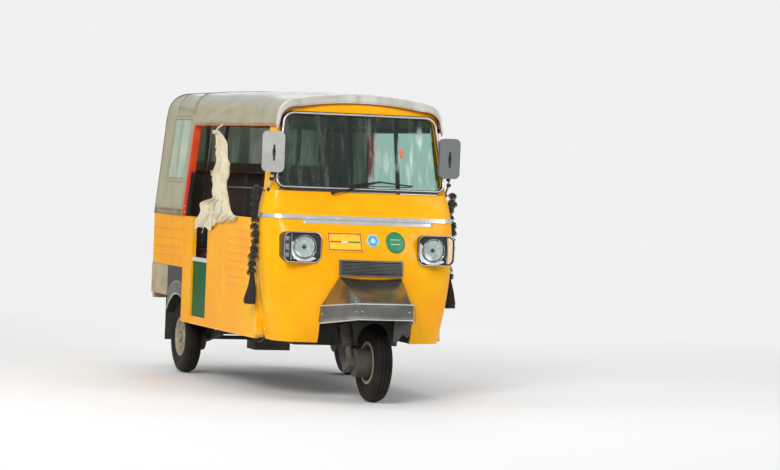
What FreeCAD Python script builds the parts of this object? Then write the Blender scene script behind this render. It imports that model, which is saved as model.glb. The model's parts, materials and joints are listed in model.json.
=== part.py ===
"""Three-wheeled passenger auto rickshaw with a canvas hood, built panel by panel.

+Z is up, -Y is the front and +X is the vehicle's left. The origin lies on the
ground under the middle of the overall box. All sizes are millimetres.
"""
import FreeCAD, Part
import math
import os

V = FreeCAD.Vector

# Overall reach
FRONT_Y = -1560.0            # front lip of the wheel shroud
REAR_Y = 1560.0              # rear face of the bumper and lamps
SIDE_X = 664.0               # body side at Y = 0
SIDE_TAPER = 0.0305          # the side widens by this much per millimetre towards the rear

# Heights of the body
SILL_Z = 366.0
FLOOR_Z = 392.0              # top of the floor
DECK_Z = 745.0               # top of the deck over the rear wheels
BELT_Z = 1105.0              # top of the rear body, foot of the hood
PANEL_TOP_Z = 1140.0         # top edge of the driver's side panel
SCUTTLE_Z = 1330.0           # foot of the windscreen
HEADER_Z = 1980.0            # the windscreen header runs up to the hood's underside

# Sheet and wall thicknesses
SHELL_WALL = 22.0
PILLAR_WALL = 30.0
SIDE_WALL = 30.0
FLOOR_T = 6.0
PLATE_T = 4.0
SKIN_T = 6.0                 # the rear post is thinned to this beside the tyre
CANVAS_T = 10.0
SEAT_GAP = 0.3               # gap between a piece and the curved seat it is set on
SINK = 1.0                   # what one solid runs into the next where they are one piece

# Cutting boxes and slabs reach this far past the body
FAR_SIDE = 900.0
FAR_FRONT = -1400.0
FAR_REAR = 1700.0
FAR_TOP = 2200.0
OPEN_BACK = 200.0            # a hollow runs out this far behind its section

# Plan sections of the nose: height, half width, front of the straight side,
# front at the middle, corner radius, back edge
NOSE_SECTIONS = (
    (366.0, 566.0, -950.0, -1185.0, 170.0, -840.0),
    (560.0, 604.0, -950.0, -1238.0, 190.0, -840.0),
    (900.0, 640.0, -950.0, -1250.0, 200.0, -840.0),
    (1060.0, 646.0, -935.0, -1190.0, 180.0, -840.0),
    (1170.0, 645.0, -915.0, -1115.0, 140.0, -838.0),
    (SCUTTLE_Z, 612.0, -890.0, -1015.0, 90.0, -830.0),
)
SCREEN_SECTIONS = (
    (SCUTTLE_Z, 612.0, -890.0, -1015.0, 90.0, -830.0),
    (1850.0, 556.0, -818.0, -932.0, 85.0, -760.0),
    (HEADER_Z, 540.0, -800.0, -908.0, 80.0, -740.0),
)

# Windscreen
REBATE = 12.0                # the glass lies this far inside the frame's face
SCREEN_FOOT_Z = 1352.0
SCREEN_HEAD_Z = 1832.0
SCREEN_FOOT_HALF = 578.0
SCREEN_HEAD_HALF = 512.0
SCREEN_CORNER_R = 60.0
GLASS_T = 5.0
SEAL_WIDTH = 22.0
SEAL_PROUD = 6.0

# Wheels: tyre radius and width, rim radius, shaft radius and running clearance
TYRE_R = 250.0
TYRE_W = 115.0
RIM_R = 125.0
RIM_W = 92.0
RIM_FLANGE = 12.0
RIM_LIP_T = 5.0
HUB_OUT = 20.0
HUB_IN = 24.0
# The pressed dish, outer face down to the hub and inner face back up: across, radius
RIM_DISH_OUTER = ((-46.0, 119.0), (-24.0, 111.0), (-24.0, 74.0), (-38.0, 66.0), (-38.0, 40.0),
                  (-20.0, 36.0))
RIM_DISH_INNER = ((24.0, 30.0), (-14.0, 44.0), (-14.0, 84.0), (-4.0, 111.0), (46.0, 119.0))
TYRE_BELLY = 62.0            # the side wall is widest this far inside the tread
BEAD_H = 14.0
SHOULDER_IN = 12.0
SHOULDER_DROP = 13.0
STUB_R = 17.5
RUN_CLEAR = 0.05
DRUM_R = 90.0
DRUM_INSET = 30.0            # the drum ends this far from the wheel's middle
FRONT_WHEEL_X = 35.0
FRONT_WHEEL_Y = -1260.0
REAR_WHEEL_X = 610.0
REAR_WHEEL_Y = 920.0

# Steering: rake of the column and the point where its axis meets the ground
RAKE_DEG = 25.0
STEER_GROUND_Y = -1300.0
COLUMN_R = 22.0
HEAD_R = 34.0
HEAD_LOW = 606.0             # along the column from the ground
HEAD_TOP = 800.0
CROWN_LOW = 512.0
CROWN_TOP = 550.0
BAR_AT = 1300.0
BAR_HALF = 300.0
BAR_SWEEP = 130.0
BAR_R = 12.0
BAR_LIFT = 22.0              # the bar's middle above the clamp's foot
BAR_CLAMP_H = 44.0
BAR_STRAIGHT = 150.0         # half of the bar's straight middle
BAR_TIP = 90.0               # the grips start this far inside the bar's ends
BAR_TIP_SHARE = 0.4          # share of the sweep that is reached there
LEG_X = -121.0               # the one fork leg stands right of the wheel
STRUT_R = 24.0
BOOT_R = 33.0
BOOT_PITCH = 15.0
BOOT_COUNT = 9
BOOT_RIB = 8.25
BOOT_START = 20.0
LEG_HALF = 22.0
LEG_AHEAD = 2.0
LEG_BEHIND = 38.0
LINK_REACH = 24.0            # past the wheel's middle
LINK_UP = 22.0
LINK_DOWN = 30.0
CROWN_IN = 30.0
CROWN_OUT_X = 42.0
CROWN_BEHIND = 40.0
CROWN_REACH = 32.0
COLUMN_SINK = 10.0
FRONT_STUB_PAST = 36.0

# Front wheel housing and the arch through the nose
HOUSING_HALF = 331.0
HOUSING_TOP_Z = 672.0
HOUSING_BACK_Y = -800.0
ARCH_BACK_Y = -1050.0        # cuts through the nose's front end here
ARCH_LOW_HALF = 312.0
ARCH_TOP_HALF = 240.0
ARCH_TOP_Z = 650.0

# Shroud over the front wheel: rear and front outlines, half widths and heights
SHROUD_REAR_Y = -1225.0
SHROUD_TUCK = 60.0           # what runs on behind, before the nose's face trims it
SHROUD_LOW_HALF = 322.0
SHROUD_LOW_Z = 500.0
SHROUD_BAND_HALF = 312.0
SHROUD_BAND_Z = 604.0
SHROUD_TOP_HALF = 213.0
SHROUD_TOP_Z = 800.0
LIP_HALF = 178.0
LIP_LOW_Z = 548.0
LIP_TOP_Z = 652.0
LIP_SHOULDER = 8.0
SKIRT_OPEN = 30.0            # the trough's inside runs out below its edge by this

# Grille over the shroud
GRILLE_HALF = 214.0
GRILLE_LOW_Z = 801.0
GRILLE_TOP_Z = 903.0
GRILLE_RIM = 11.0
GRILLE_PROUD = 14.0
SLAT_COUNT = 8
SLAT_T = 5.0

# Head lamps
LAMP_IN_X = 332.0
LAMP_OUT_X = 574.0
LAMP_LOW_Z = 882.0
LAMP_TOP_Z = 1070.0
LAMP_FACE_Y = -1204.0
LAMP_BACK_Y = -1040.0
LAMP_CORNER_R = 42.0
REFLECTOR_R = 72.0
REFLECTOR_X = 436.0
REFLECTOR_DEPTH = 45.0
BULB_SEAT_R = 26.0
LENS_T = 4.0
TURN_LENS_W = 44.0
TURN_LENS_DEPTH = 26.0

# Trim strip across the nose
TRIM_LOW_Z = 1152.0
TRIM_TOP_Z = 1178.0
TRIM_PROUD = 7.0
TRIM_BACK_Y = -858.0

# Dashboard: the shelf under the windscreen and the pod for the dial
SHELF_FRONT_Y = -1100.0
SHELF_BACK_Y = -868.0
SHELF_LOW_Z = 1262.0
SHELF_DROP = 6.0             # the shelf's top lies this far under the windscreen's foot
POD_HALF = 170.0
POD_FRONT_Y = -985.0
POD_BACK_Y = -880.0
POD_LOW_Z = 1140.0

# Side panel on the right, ribs pressed in its front part
PANEL_FRONT_Y = -832.0
PANEL_REAR_Y = 250.0
PANEL_ROUND = 90.0
SILL_TOP_Z = 420.0
RIB_COUNT = 8
RIB_LOW_Z = 705.0
RIB_PITCH = 51.0
RIB_W = 22.0
RIB_PROUD = 5.0
RIB_REAR_Y = -225.0
RIB_INSET = 20.0             # the ribs start this far behind the panel's front edge
KICK_REAR_Y = -700.0

# Rear quarter
POST_FRONT_Y = 600.0
POST_REAR_Y = 810.0
QUARTER_REAR_Y = 1548.0
QUARTER_RIB_LOW_Z = 842.0
QUARTER_RIB_PITCH = 63.0
QUARTER_RIB_COUNT = 4
QUARTER_RIB_W = 46.0
QUARTER_RIB_FRONT_Y = 835.0
QUARTER_RIB_REAR_Y = 1505.0
RISER_Y = 630.0

# Rails across the gap beside the passengers
GUARD_TOP_Z = 800.0
RAIL_H = 28.0
RAIL_T = 20.0
UPPER_RAIL_Z = 1088.0
UPPER_RAIL_LAP = 110.0       # it lies along the panel by this much
UPPER_RAIL_REACH = 40.0      # and runs this far past the rear post's edge

# Tail and its lid
TAIL_Y = 1545.0
TAIL_T = 22.0
LID_HALF = 400.0
LID_LOW_Z = 565.0
LID_TOP_Z = 1052.0
LID_GAP = 6.0
HINGE_Z = 1066.0
HINGE_Y = 1554.0
HINGE_R = 6.0
HINGE_PIN_R = 3.0
HINGE_X = 250.0
HINGE_LEN = 60.0
HINGE_LEAF_Z = 1010.0
LOUVRE_COUNT = 7
LOUVRE_PITCH = 34.0
LOUVRE_HALF = 250.0
LOUVRE_LOW_Z = 640.0
LOUVRE_DEPTH = 11.0
LOUVRE_H = 22.0
HINGE_EAR_W = 8.0
LID_T = 16.0
TAIL_LAMP_X = 560.0
TAIL_LAMP_HALF = 70.0
TAIL_LAMP_LOW_Z = 830.0
TAIL_LAMP_TOP_Z = 960.0

# Hood: transverse sections with station, half width at the foot, half width at
# the shoulder, shoulder height, crown height, corner radius
HOOD_SECTIONS = (
    (-945.0, 648.0, 556.0, 1800.0, 1962.0, 120.0),
    (-300.0, 668.0, 604.0, 1835.0, 1988.0, 125.0),
    (720.0, 698.0, 645.0, 1850.0, 1998.0, 120.0),
    (1600.0, 714.0, 656.0, 1850.0, 1996.0, 120.0),
)
HOOD_FRONT_Y = -928.0
HOOD_BACK_FOOT_Y = 1542.0
HOOD_BACK_Y = 1492.0
HOOD_BACK_Z = 1690.0
HOOD_ROUND_MID = (1448.0, 1882.0)
HOOD_ROUND_END = (1290.0, 2004.0)
OPENING_TOP_Z = 1742.0
OPENING_REAR_TOP_Y = 722.0
OPENING_REAR_FOOT_Y = 800.0
SIDE_WINDOW = ((850.0, 1785.0), (1262.0, 1785.0), (1318.0, 1360.0), (905.0, 1360.0))
REAR_WINDOW_HALF = 500.0
REAR_WINDOW_LOW_Z = 1490.0
REAR_WINDOW_TOP_Z = 1752.0
REAR_STRAP_X = 345.0
REAR_STRAP_W = 36.0
BOW_STATIONS = (-380.0, 100.0, 760.0, 1180.0)
BOW_W = 26.0
BOW_T = 24.0
FRAME_INSET = 0.4
RAIL_BAND_Z = 26.0
BAND_LIFT = 2.0              # the side band lies this far above the opening's edge
POST_LAP = 30.0              # the left post runs this far into the hood's foot
POST_INSET = 6.0
PANE_T = 2.0

# Seats
DRIVER_SEAT = (-280.0, 280.0, -450.0, -30.0, 620.0, 722.0)
DRIVER_BACK = (-275.0, 275.0, -28.0, 42.0, 790.0, 1130.0)
BENCH = (-600.0, 600.0, 636.0, 1130.0, DECK_Z, 872.0)
BENCH_BACK = (-600.0, 600.0, 1150.0, 1270.0, 800.0, 1450.0)
CUSHION_R = 28.0
SEAT_BASE_INSET = 25.0
BACK_POST_X = 150.0
BACK_POST_HALF = 15.0
BACK_POST_T = 20.0
BACK_POST_TOP_Z = 1050.0
BACK_FOOT_H = 60.0
BENCH_POST_HALF = 20.0
BENCH_POST_T = 30.0
BENCH_POST_INSET = 80.0
BENCH_RAIL_H = 40.0
BENCH_RAIL_DROP = 60.0

# Chassis
RAIL_X = 330.0
RAIL_W = 50.0
RAIL_LOW_Z = 326.0
RAIL_FRONT_Y = -795.0
RAIL_REAR_Y = 1500.0
CROSS_STATIONS = (-770.0, -120.0, 560.0, 1075.0, 1330.0)
CROSS_W = 50.0

# Engine and drive
ENGINE = (-190.0, 190.0, 930.0, 1370.0, 386.0, 700.0)
GEARBOX = (-130.0, 130.0, 830.0, 1030.0, 170.0, 386.0)
ARM_X = 465.0
ARM_W = 44.0
PIVOT_Y = 585.0
PIVOT_Z = 310.0
PIVOT_R = 16.0
PIVOT_BLOCK = 20.0           # half size of the blocks that carry the pivot tube
ARM_FRONT = 26.0             # the arm runs this far ahead of its pivot
ARM_FRONT_LOW = 22.0
ARM_FRONT_TOP = 14.0
ARM_REAR = 30.0
ARM_REAR_HALF = 34.0
SHAFT_R = 14.0
STUB_PAST = 48.0             # the stub axle ends this far past the wheel's middle
SPRING_R = 38.0
SPRING_AHEAD = 90.0
SPRING_FOOT = 20.0

# Rear wheel housings and flaps
WELL_R = 320.0
WELL_IN_X = 506.0
WELL_LIP_R = 300.0
WELL_GAP = 4.0               # the quarter panel is cut back from the tunnel by this
FENDER_LOW_Z = 410.0
FENDER_INSET = 2.0
FENDER_BAND = 30.0
TUNNEL_INSET = 12.0
STRUT_W = 40.0
STRUT_INSET = 20.0
FLAP_INSET = 8.0
FLAP_Y = 1196.0
FLAP_LOW_Z = 210.0
FLAP_T = 6.0

# Rear bumper
BUMPER_LOW_Z = 530.0
BUMPER_FRONT_Y = 1160.0
BUMPER_IN_X = 412.0
BUMPER_PROUD = 3.0
BUMPER_SET = 8.0             # the corner plates stop this far short of the bar's face
BUMPER_LAP = 6.0
BAR_DEPTH = 50.0
BAR_INSET = 10.0
BRACKET_HALF = 20.0
BRACKET_DEPTH = 20.0
BAR_LOW_Z = 492.0

# Tow eye under the middle of the rear bar
TOW_Y = 1537.0
TOW_Z = 452.0
TOW_HOLE_R = 11.0
TOW_R = 22.0
TOW_W = 16.0

# Mirrors
MIRROR_X = 601.0
MIRROR_Y = -995.0
MIRROR_W = 142.0
MIRROR_H = 262.0
MIRROR_T = 34.0
MIRROR_Z = 1574.0
MIRROR_CORNER_R = 34.0
STALK_R = 7.0
STALK_FOOT = (-600.0, -895.0, 1300.0)
STALK_KNEE_X = -606.0
STALK_KNEE_Z = 1400.0

# Wiper
WIPER_PIVOT = (-206.0, 1322.0)
WIPER_JOINT = (111.0, 1404.0)
WIPER_BLADE = ((-59.0, 1380.0), (339.0, 1384.0))
WIPER_R = 5.0
WIPER_ROOT_Y = -1010.0
WIPER_FOOT_Y = -1036.0
WIPER_TIP_Y = -1022.0
WIPER_BOSS_R = 9.0
WIPER_KNOB_R = 8.0

# Soft pieces
GARLAND_X = 676.8
GARLAND_Y = -862.0
GARLAND_TOP_Z = 1330.0
GARLAND_R = 26.0
GARLAND_COUNT = 12
GARLAND_LAP = 4.0            # one bead of yarn runs into the next by this
FRINGE_TOP_R = 15.6
FRINGE_FOOT_R = 30.0
FRINGE_LOW_Z = 585.0
CURTAIN_T = 30.0
# Outline of the gathered curtain seen from the side: along, height
CURTAIN_FRONT_Y = -430.0
CURTAIN_OUTLINE = ((100.0, 1705.0), (60.0, 1705.0), (-72.0, 1660.0), (-190.0, 1619.0),
                   (-192.0, 1535.0), (-262.0, 1488.0), (-170.0, 1468.0), (-222.0, 1436.0),
                   (-212.0, 1390.0), (-150.0, 1342.0), (-275.0, 1250.0), (-276.0, 1162.0),
                   (-400.0, 1155.0), (-412.0, 1112.0), (-358.0, 1107.0), (-68.0, 1092.0),
                   (-16.0, 1056.0), (61.0, 1096.0), (329.0, 1044.0), (520.0, 1010.0),
                   (500.0, 1084.0), (403.0, 1136.0), (404.0, 1200.0), (160.0, 1247.0),
                   (170.0, 1375.0), (145.0, 1418.0), (75.0, 1493.0), (112.0, 1555.0),
                   (80.0, 1602.0), (128.0, 1676.0))

PARTS = {}


def box(x0, x1, y0, y1, z0, z1):
    return Part.makeBox(x1 - x0, y1 - y0, z1 - z0, V(x0, y0, z0))


def mirrored(shape):
    return shape.mirror(V(0, 0, 0), V(1, 0, 0))


def both_sides(shape):
    return Part.makeCompound([shape, mirrored(shape)])


def fused(shapes):
    first = shapes[0]
    return first.fuse(shapes[1:]).removeSplitter() if len(shapes) > 1 else first


def prism(points, direction):
    wire = Part.makePolygon(points + points[:1])
    return Part.Face(wire).extrude(direction)


def prism_x(outline, x0, x1):
    """Outline in (y, z), drawn out from x0 to x1."""
    return prism([V(x0, y, z) for y, z in outline], V(x1 - x0, 0, 0))


def prism_y(outline, y0, y1):
    """Outline in (x, z), drawn out from y0 to y1."""
    return prism([V(x, y0, z) for x, z in outline], V(0, y1 - y0, 0))


def prism_z(outline, z0, z1):
    """Outline in (x, y), drawn out from z0 to z1."""
    return prism([V(x, y, z0) for x, y in outline], V(0, 0, z1 - z0))


def rod(start, end, radius):
    a, b = V(*start), V(*end)
    return Part.makeCylinder(radius, (b - a).Length, a, b - a)


def block(corners):
    return box(*corners)


def side_x(y):
    return SIDE_X + SIDE_TAPER * y


def side_slab(inset, depth, y0, y1, z0=0.0, z1=FAR_TOP):
    """Slab along the right body side, from inset to inset + depth inside the outer face."""
    outline = []
    for y in (y0, y1):
        outline.append((-(side_x(y) - inset), y))
    for y in (y1, y0):
        outline.append((-(side_x(y) - inset - depth), y))
    return prism_z(outline, z0, z1)


def closed_wire(edges):
    return Part.Wire([e.toShape() for e in edges])


def arc(a, b, c):
    return Part.Arc(a, b, c)


def line(a, b):
    return Part.LineSegment(a, b)


def tangent_corner(half_width, side, apex, corner_r, grow):
    """A corner circle tangent to the straight side and to the wide front arc.

    Returns the corner circle's mid point and its joint with the wide arc,
    each as (across, along), with along measured towards the apex."""
    centre = half_width - corner_r
    depth = apex - side
    wide_r = (centre ** 2 + depth ** 2 - corner_r ** 2) / (2 * (depth - corner_r))
    wide_centre = apex - wide_r
    radius = corner_r + grow
    angle = math.atan2(side - wide_centre, centre)
    joint = (centre + radius * math.cos(angle), side + radius * math.sin(angle))
    middle = (centre + radius * math.cos(angle / 2), side + radius * math.sin(angle / 2))
    return middle, joint


def nose_wire(section, grow, back_shift=0.0):
    z, half, side_y, nose_y, corner_r, back_y = section
    middle, joint = tangent_corner(half, -side_y, -nose_y, corner_r, grow)
    back = back_y + back_shift
    wide = half + grow
    right = [V(-wide, back, z), V(-wide, side_y, z), V(-middle[0], -middle[1], z),
             V(-joint[0], -joint[1], z)]
    left = [V(-p.x, p.y, p.z) for p in right]
    tip = V(0, nose_y - grow, z)
    return closed_wire([line(right[0], right[1]), arc(right[1], right[2], right[3]),
                        arc(right[3], tip, left[3]), arc(left[3], left[2], left[1]),
                        line(left[1], left[0]), line(left[0], right[0])])


def nose_solid(grow=0.0, back_shift=0.0):
    wires = [nose_wire(s, grow, back_shift) for s in NOSE_SECTIONS]
    return Part.makeLoft(wires, True, False)


def screen_solid(grow=0.0, back_shift=0.0):
    wires = [nose_wire(s, grow, back_shift) for s in SCREEN_SECTIONS]
    return Part.makeLoft(wires, True, True)


def rounded_outline(corners, radius, y):
    """A closed wire in the plane at y through (x, z) corners, each rounded."""
    edges = []
    points = [V(x, y, z) for x, z in corners]
    count = len(points)
    ends = []
    for i, p in enumerate(points):
        before = points[i - 1]
        after = points[(i + 1) % count]
        u = (before - p).normalize()
        w = (after - p).normalize()
        half = u.getAngle(w) / 2
        reach = radius / math.tan(half)
        start, end = p + u * reach, p + w * reach
        centre = p + (u + w).normalize() * (radius / math.sin(half))
        middle = centre + (p - centre).normalize() * radius
        ends.append((start, middle, end))
    for i, (start, middle, end) in enumerate(ends):
        edges.append(arc(start, middle, end))
        edges.append(line(end, ends[(i + 1) % count][0]))
    return closed_wire(edges)


def rounded_prism_y(corners, radius, y0, y1):
    return Part.Face(rounded_outline(corners, radius, y0)).extrude(V(0, y1 - y0, 0))


def screen_corners(grow):
    """The windscreen's four corners in (x, z), with its edge moved out by grow."""
    foot, head = SCREEN_FOOT_Z - grow, SCREEN_HEAD_Z + grow
    return [(-SCREEN_FOOT_HALF - grow, foot), (SCREEN_FOOT_HALF + grow, foot),
            (SCREEN_HEAD_HALF + grow, head), (-SCREEN_HEAD_HALF - grow, head)]


def screen_prism(grow):
    return rounded_prism_y(screen_corners(grow), SCREEN_CORNER_R + grow, FAR_FRONT, HOUSING_BACK_Y)


# Places along the steering column: across, ahead of the axis, along the axis
RAKE = math.radians(RAKE_DEG)


def steer_place(shape):
    """Turn a shape drawn about an upright column into the raked one."""
    placed = shape.copy()
    placed.rotate(V(0, 0, 0), V(1, 0, 0), -RAKE_DEG)
    placed.translate(V(0, STEER_GROUND_Y, 0))
    return placed


def wheel_ahead_along():
    dy = FRONT_WHEEL_Y - STEER_GROUND_Y
    ahead = -dy * math.cos(RAKE) + TYRE_R * math.sin(RAKE)
    along = dy * math.sin(RAKE) + TYRE_R * math.cos(RAKE)
    return ahead, along


def make_nose():
    outer = nose_solid()
    hollow = nose_solid(-SHELL_WALL, OPEN_BACK)
    arch = prism_y([(-ARCH_LOW_HALF, SILL_Z - SINK), (-ARCH_LOW_HALF, SHROUD_LOW_Z),
                    (-ARCH_TOP_HALF, ARCH_TOP_Z), (ARCH_TOP_HALF, ARCH_TOP_Z),
                    (ARCH_LOW_HALF, SHROUD_LOW_Z), (ARCH_LOW_HALF, SILL_Z - SINK)],
                   FAR_FRONT, ARCH_BACK_Y)
    vent = box(-GRILLE_HALF + GRILLE_RIM, GRILLE_HALF - GRILLE_RIM, FAR_FRONT, ARCH_BACK_Y,
               GRILLE_LOW_Z + GRILLE_RIM, GRILLE_TOP_Z - GRILLE_RIM)
    PARTS["front_cowl"] = outer.cut([hollow, arch, vent])

    layer = nose_solid(GRILLE_PROUD).cut(nose_solid(SEAT_GAP))
    rim = box(-GRILLE_HALF, GRILLE_HALF, FAR_FRONT, ARCH_BACK_Y, GRILLE_LOW_Z, GRILLE_TOP_Z).cut(vent)
    pitch = (GRILLE_TOP_Z - GRILLE_LOW_Z - 2 * GRILLE_RIM) / (SLAT_COUNT + 1)
    bars = [rim]
    for i in range(SLAT_COUNT):
        z = GRILLE_LOW_Z + GRILLE_RIM + (i + 1) * pitch
        bars.append(box(-GRILLE_HALF + SINK, GRILLE_HALF - SINK, FAR_FRONT, ARCH_BACK_Y,
                        z - SLAT_T / 2, z + SLAT_T / 2))
    PARTS["grille"] = layer.common(fused(bars))

    strip = nose_solid(TRIM_PROUD).cut(nose_solid(SEAT_GAP))
    band = box(-FAR_SIDE, FAR_SIDE, FAR_FRONT, TRIM_BACK_Y, TRIM_LOW_Z, TRIM_TOP_Z)
    PARTS["trim_strip"] = strip.common(band)


def make_wheel_housing():
    outer = box(-HOUSING_HALF, HOUSING_HALF, FAR_FRONT, HOUSING_BACK_Y, SILL_Z, HOUSING_TOP_Z)
    inner = box(-HOUSING_HALF + PLATE_T, HOUSING_HALF - PLATE_T, FAR_FRONT - SINK,
                HOUSING_BACK_Y - PLATE_T, SILL_Z - SINK, HOUSING_TOP_Z - PLATE_T)
    shell = outer.cut(inner)
    inside = nose_solid(-SHELL_WALL - SEAT_GAP, OPEN_BACK)
    tube = steer_place(Part.makeCylinder(HEAD_R, HEAD_TOP - HEAD_LOW, V(0, 0, HEAD_LOW)))
    bore = steer_place(Part.makeCylinder(COLUMN_R + RUN_CLEAR, HEAD_TOP - HEAD_LOW + 2 * SINK,
                                         V(0, 0, HEAD_LOW - SINK)))
    PARTS["wheel_housing"] = shell.common(inside).fuse(tube).cut(bore).removeSplitter()


def shroud_outline(y, wall, front):
    """Inverted trough outline at y, set in by wall; front picks the lip's own sizes."""
    if front:
        half, low, top, shoulder = LIP_HALF, LIP_LOW_Z, LIP_TOP_Z, LIP_SHOULDER
        corners = [(half, low), (half - shoulder / 2, top - shoulder), (half - shoulder * 2, top)]
    else:
        corners = [(SHROUD_LOW_HALF, SHROUD_LOW_Z), (SHROUD_BAND_HALF, SHROUD_BAND_Z),
                   (SHROUD_TOP_HALF, SHROUD_TOP_Z)]
    right = [(-(x - wall), z - (wall if i else 0)) for i, (x, z) in enumerate(corners)]
    if wall:
        right[0] = (right[0][0], right[0][1] - SKIRT_OPEN)
    outline = right + [(-x, z) for x, z in reversed(right)]
    points = [V(x, y, z) for x, z in outline]
    return Part.makePolygon(points + points[:1])


def make_shroud():
    front = FRONT_Y
    rear = SHROUD_REAR_Y + SHROUD_TUCK
    outer = Part.makeLoft([shroud_outline(rear, 0, False), shroud_outline(SHROUD_REAR_Y, 0, False),
                           shroud_outline(front, 0, True)], True, True)
    inner = Part.makeLoft([shroud_outline(rear + SINK, PLATE_T, False),
                           shroud_outline(SHROUD_REAR_Y, PLATE_T, False),
                           shroud_outline(front + PLATE_T, PLATE_T, True)], True, True)
    PARTS["wheel_shroud"] = outer.cut(inner).cut(nose_solid(SEAT_GAP))


def make_screen():
    outer = screen_solid()
    hollow = screen_solid(-PILLAR_WALL, OPEN_BACK)
    opening = screen_prism(-SEAL_WIDTH / 2)
    under_hood = hood_solid(-CANVAS_T - SEAT_GAP, OPEN_BACK)
    PARTS["windscreen_frame"] = outer.cut([hollow, opening]).common(under_hood)
    glass_layer = screen_solid(-REBATE).cut(screen_solid(-REBATE - GLASS_T))
    PARTS["windscreen_glass"] = glass_layer.common(screen_prism(-SEAL_WIDTH / 2 - SEAT_GAP))
    seal_layer = screen_solid(SEAL_PROUD).cut(screen_solid(SEAT_GAP))
    PARTS["windscreen_seal"] = seal_layer.common(
        screen_prism(SEAL_WIDTH / 2).cut(screen_prism(-SEAL_WIDTH / 2)))


def make_dashboard():
    inside = nose_solid(-SHELL_WALL - SEAT_GAP, OPEN_BACK)
    shelf = box(-FAR_SIDE, FAR_SIDE, SHELF_FRONT_Y, SHELF_BACK_Y, SHELF_LOW_Z, SCUTTLE_Z - SHELF_DROP)
    pod = box(-POD_HALF, POD_HALF, POD_FRONT_Y, POD_BACK_Y, POD_LOW_Z, SHELF_LOW_Z)
    PARTS["dashboard"] = shelf.common(inside).fuse(pod.common(inside)).removeSplitter()


def make_head_lamps():
    corners = [(-LAMP_OUT_X, LAMP_LOW_Z), (-LAMP_IN_X, LAMP_LOW_Z),
               (-LAMP_IN_X, LAMP_TOP_Z), (-LAMP_OUT_X, LAMP_TOP_Z)]
    housing = rounded_prism_y(corners, LAMP_CORNER_R, LAMP_FACE_Y, LAMP_BACK_Y)
    middle_z = (LAMP_LOW_Z + LAMP_TOP_Z) / 2
    seat = Part.makeCylinder(REFLECTOR_R, LENS_T, V(-REFLECTOR_X, LAMP_FACE_Y, middle_z), V(0, 1, 0))
    bowl = Part.makeCone(REFLECTOR_R - LENS_T, BULB_SEAT_R, REFLECTOR_DEPTH,
                         V(-REFLECTOR_X, LAMP_FACE_Y + LENS_T, middle_z), V(0, 1, 0))
    turn = (-LAMP_OUT_X - SINK, -LAMP_OUT_X + TURN_LENS_W, LAMP_FACE_Y - SINK)
    notch = box(turn[0], turn[1], turn[2], LAMP_FACE_Y + TURN_LENS_DEPTH, LAMP_LOW_Z - SINK,
                LAMP_TOP_Z + SINK)
    PARTS["headlamps"] = both_sides(housing.cut([seat, bowl, notch, nose_solid(SEAT_GAP)]))
    lens = Part.makeCylinder(REFLECTOR_R - SEAT_GAP, LENS_T,
                             V(-REFLECTOR_X, LAMP_FACE_Y, middle_z), V(0, 1, 0))
    turn_lens = housing.common(box(turn[0], turn[1] - SEAT_GAP, turn[2],
                                   LAMP_FACE_Y + TURN_LENS_DEPTH - SEAT_GAP, LAMP_LOW_Z - SINK,
                                   LAMP_TOP_Z + SINK))
    PARTS["lamp_lenses"] = Part.makeCompound([lens, turn_lens, mirrored(lens), mirrored(turn_lens)])


def proud_ribs(front_y, rear_y, low_z, pitch, width, count):
    """Flat ribs pressed out of the right body side."""
    ribs = []
    for i in range(count):
        z = low_z + i * pitch
        ribs.append(side_slab(-RIB_PROUD, RIB_PROUD + SIDE_WALL / 2, front_y, rear_y,
                              z - width / 2, z + width / 2))
    return ribs


def make_side_panels():
    wall = side_slab(0, SIDE_WALL, PANEL_FRONT_Y, POST_FRONT_Y)

    def p(y, z):
        return V(-FAR_SIDE, y, z)

    corner = p(PANEL_REAR_Y - PANEL_ROUND * (1 - math.sqrt(0.5)),
               PANEL_TOP_Z - PANEL_ROUND * (1 - math.sqrt(0.5)))
    outline = closed_wire([
        line(p(PANEL_FRONT_Y, SILL_Z), p(POST_FRONT_Y, SILL_Z)),
        line(p(POST_FRONT_Y, SILL_Z), p(POST_FRONT_Y, SILL_TOP_Z)),
        line(p(POST_FRONT_Y, SILL_TOP_Z), p(PANEL_REAR_Y, SILL_TOP_Z)),
        line(p(PANEL_REAR_Y, SILL_TOP_Z), p(PANEL_REAR_Y, PANEL_TOP_Z - PANEL_ROUND)),
        arc(p(PANEL_REAR_Y, PANEL_TOP_Z - PANEL_ROUND), corner, p(PANEL_REAR_Y - PANEL_ROUND, PANEL_TOP_Z)),
        line(p(PANEL_REAR_Y - PANEL_ROUND, PANEL_TOP_Z), p(PANEL_FRONT_Y, PANEL_TOP_Z)),
        line(p(PANEL_FRONT_Y, PANEL_TOP_Z), p(PANEL_FRONT_Y, SILL_Z))])
    panel = wall.common(Part.Face(outline).extrude(V(FAR_SIDE, 0, 0)))
    ribs = proud_ribs(PANEL_FRONT_Y + RIB_INSET, RIB_REAR_Y, RIB_LOW_Z, RIB_PITCH, RIB_W, RIB_COUNT)
    PARTS["side_panel_right"] = panel.fuse(ribs).removeSplitter()
    kick = [(PANEL_FRONT_Y, SILL_Z), (POST_FRONT_Y, SILL_Z), (POST_FRONT_Y, SILL_TOP_Z),
            (KICK_REAR_Y + PANEL_ROUND, SILL_TOP_Z), (KICK_REAR_Y, SILL_TOP_Z + PANEL_ROUND),
            (KICK_REAR_Y, PANEL_TOP_Z), (PANEL_FRONT_Y, PANEL_TOP_Z)]
    PARTS["side_panel_left"] = mirrored(wall.common(prism_x(kick, -FAR_SIDE, 0.0)))


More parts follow.
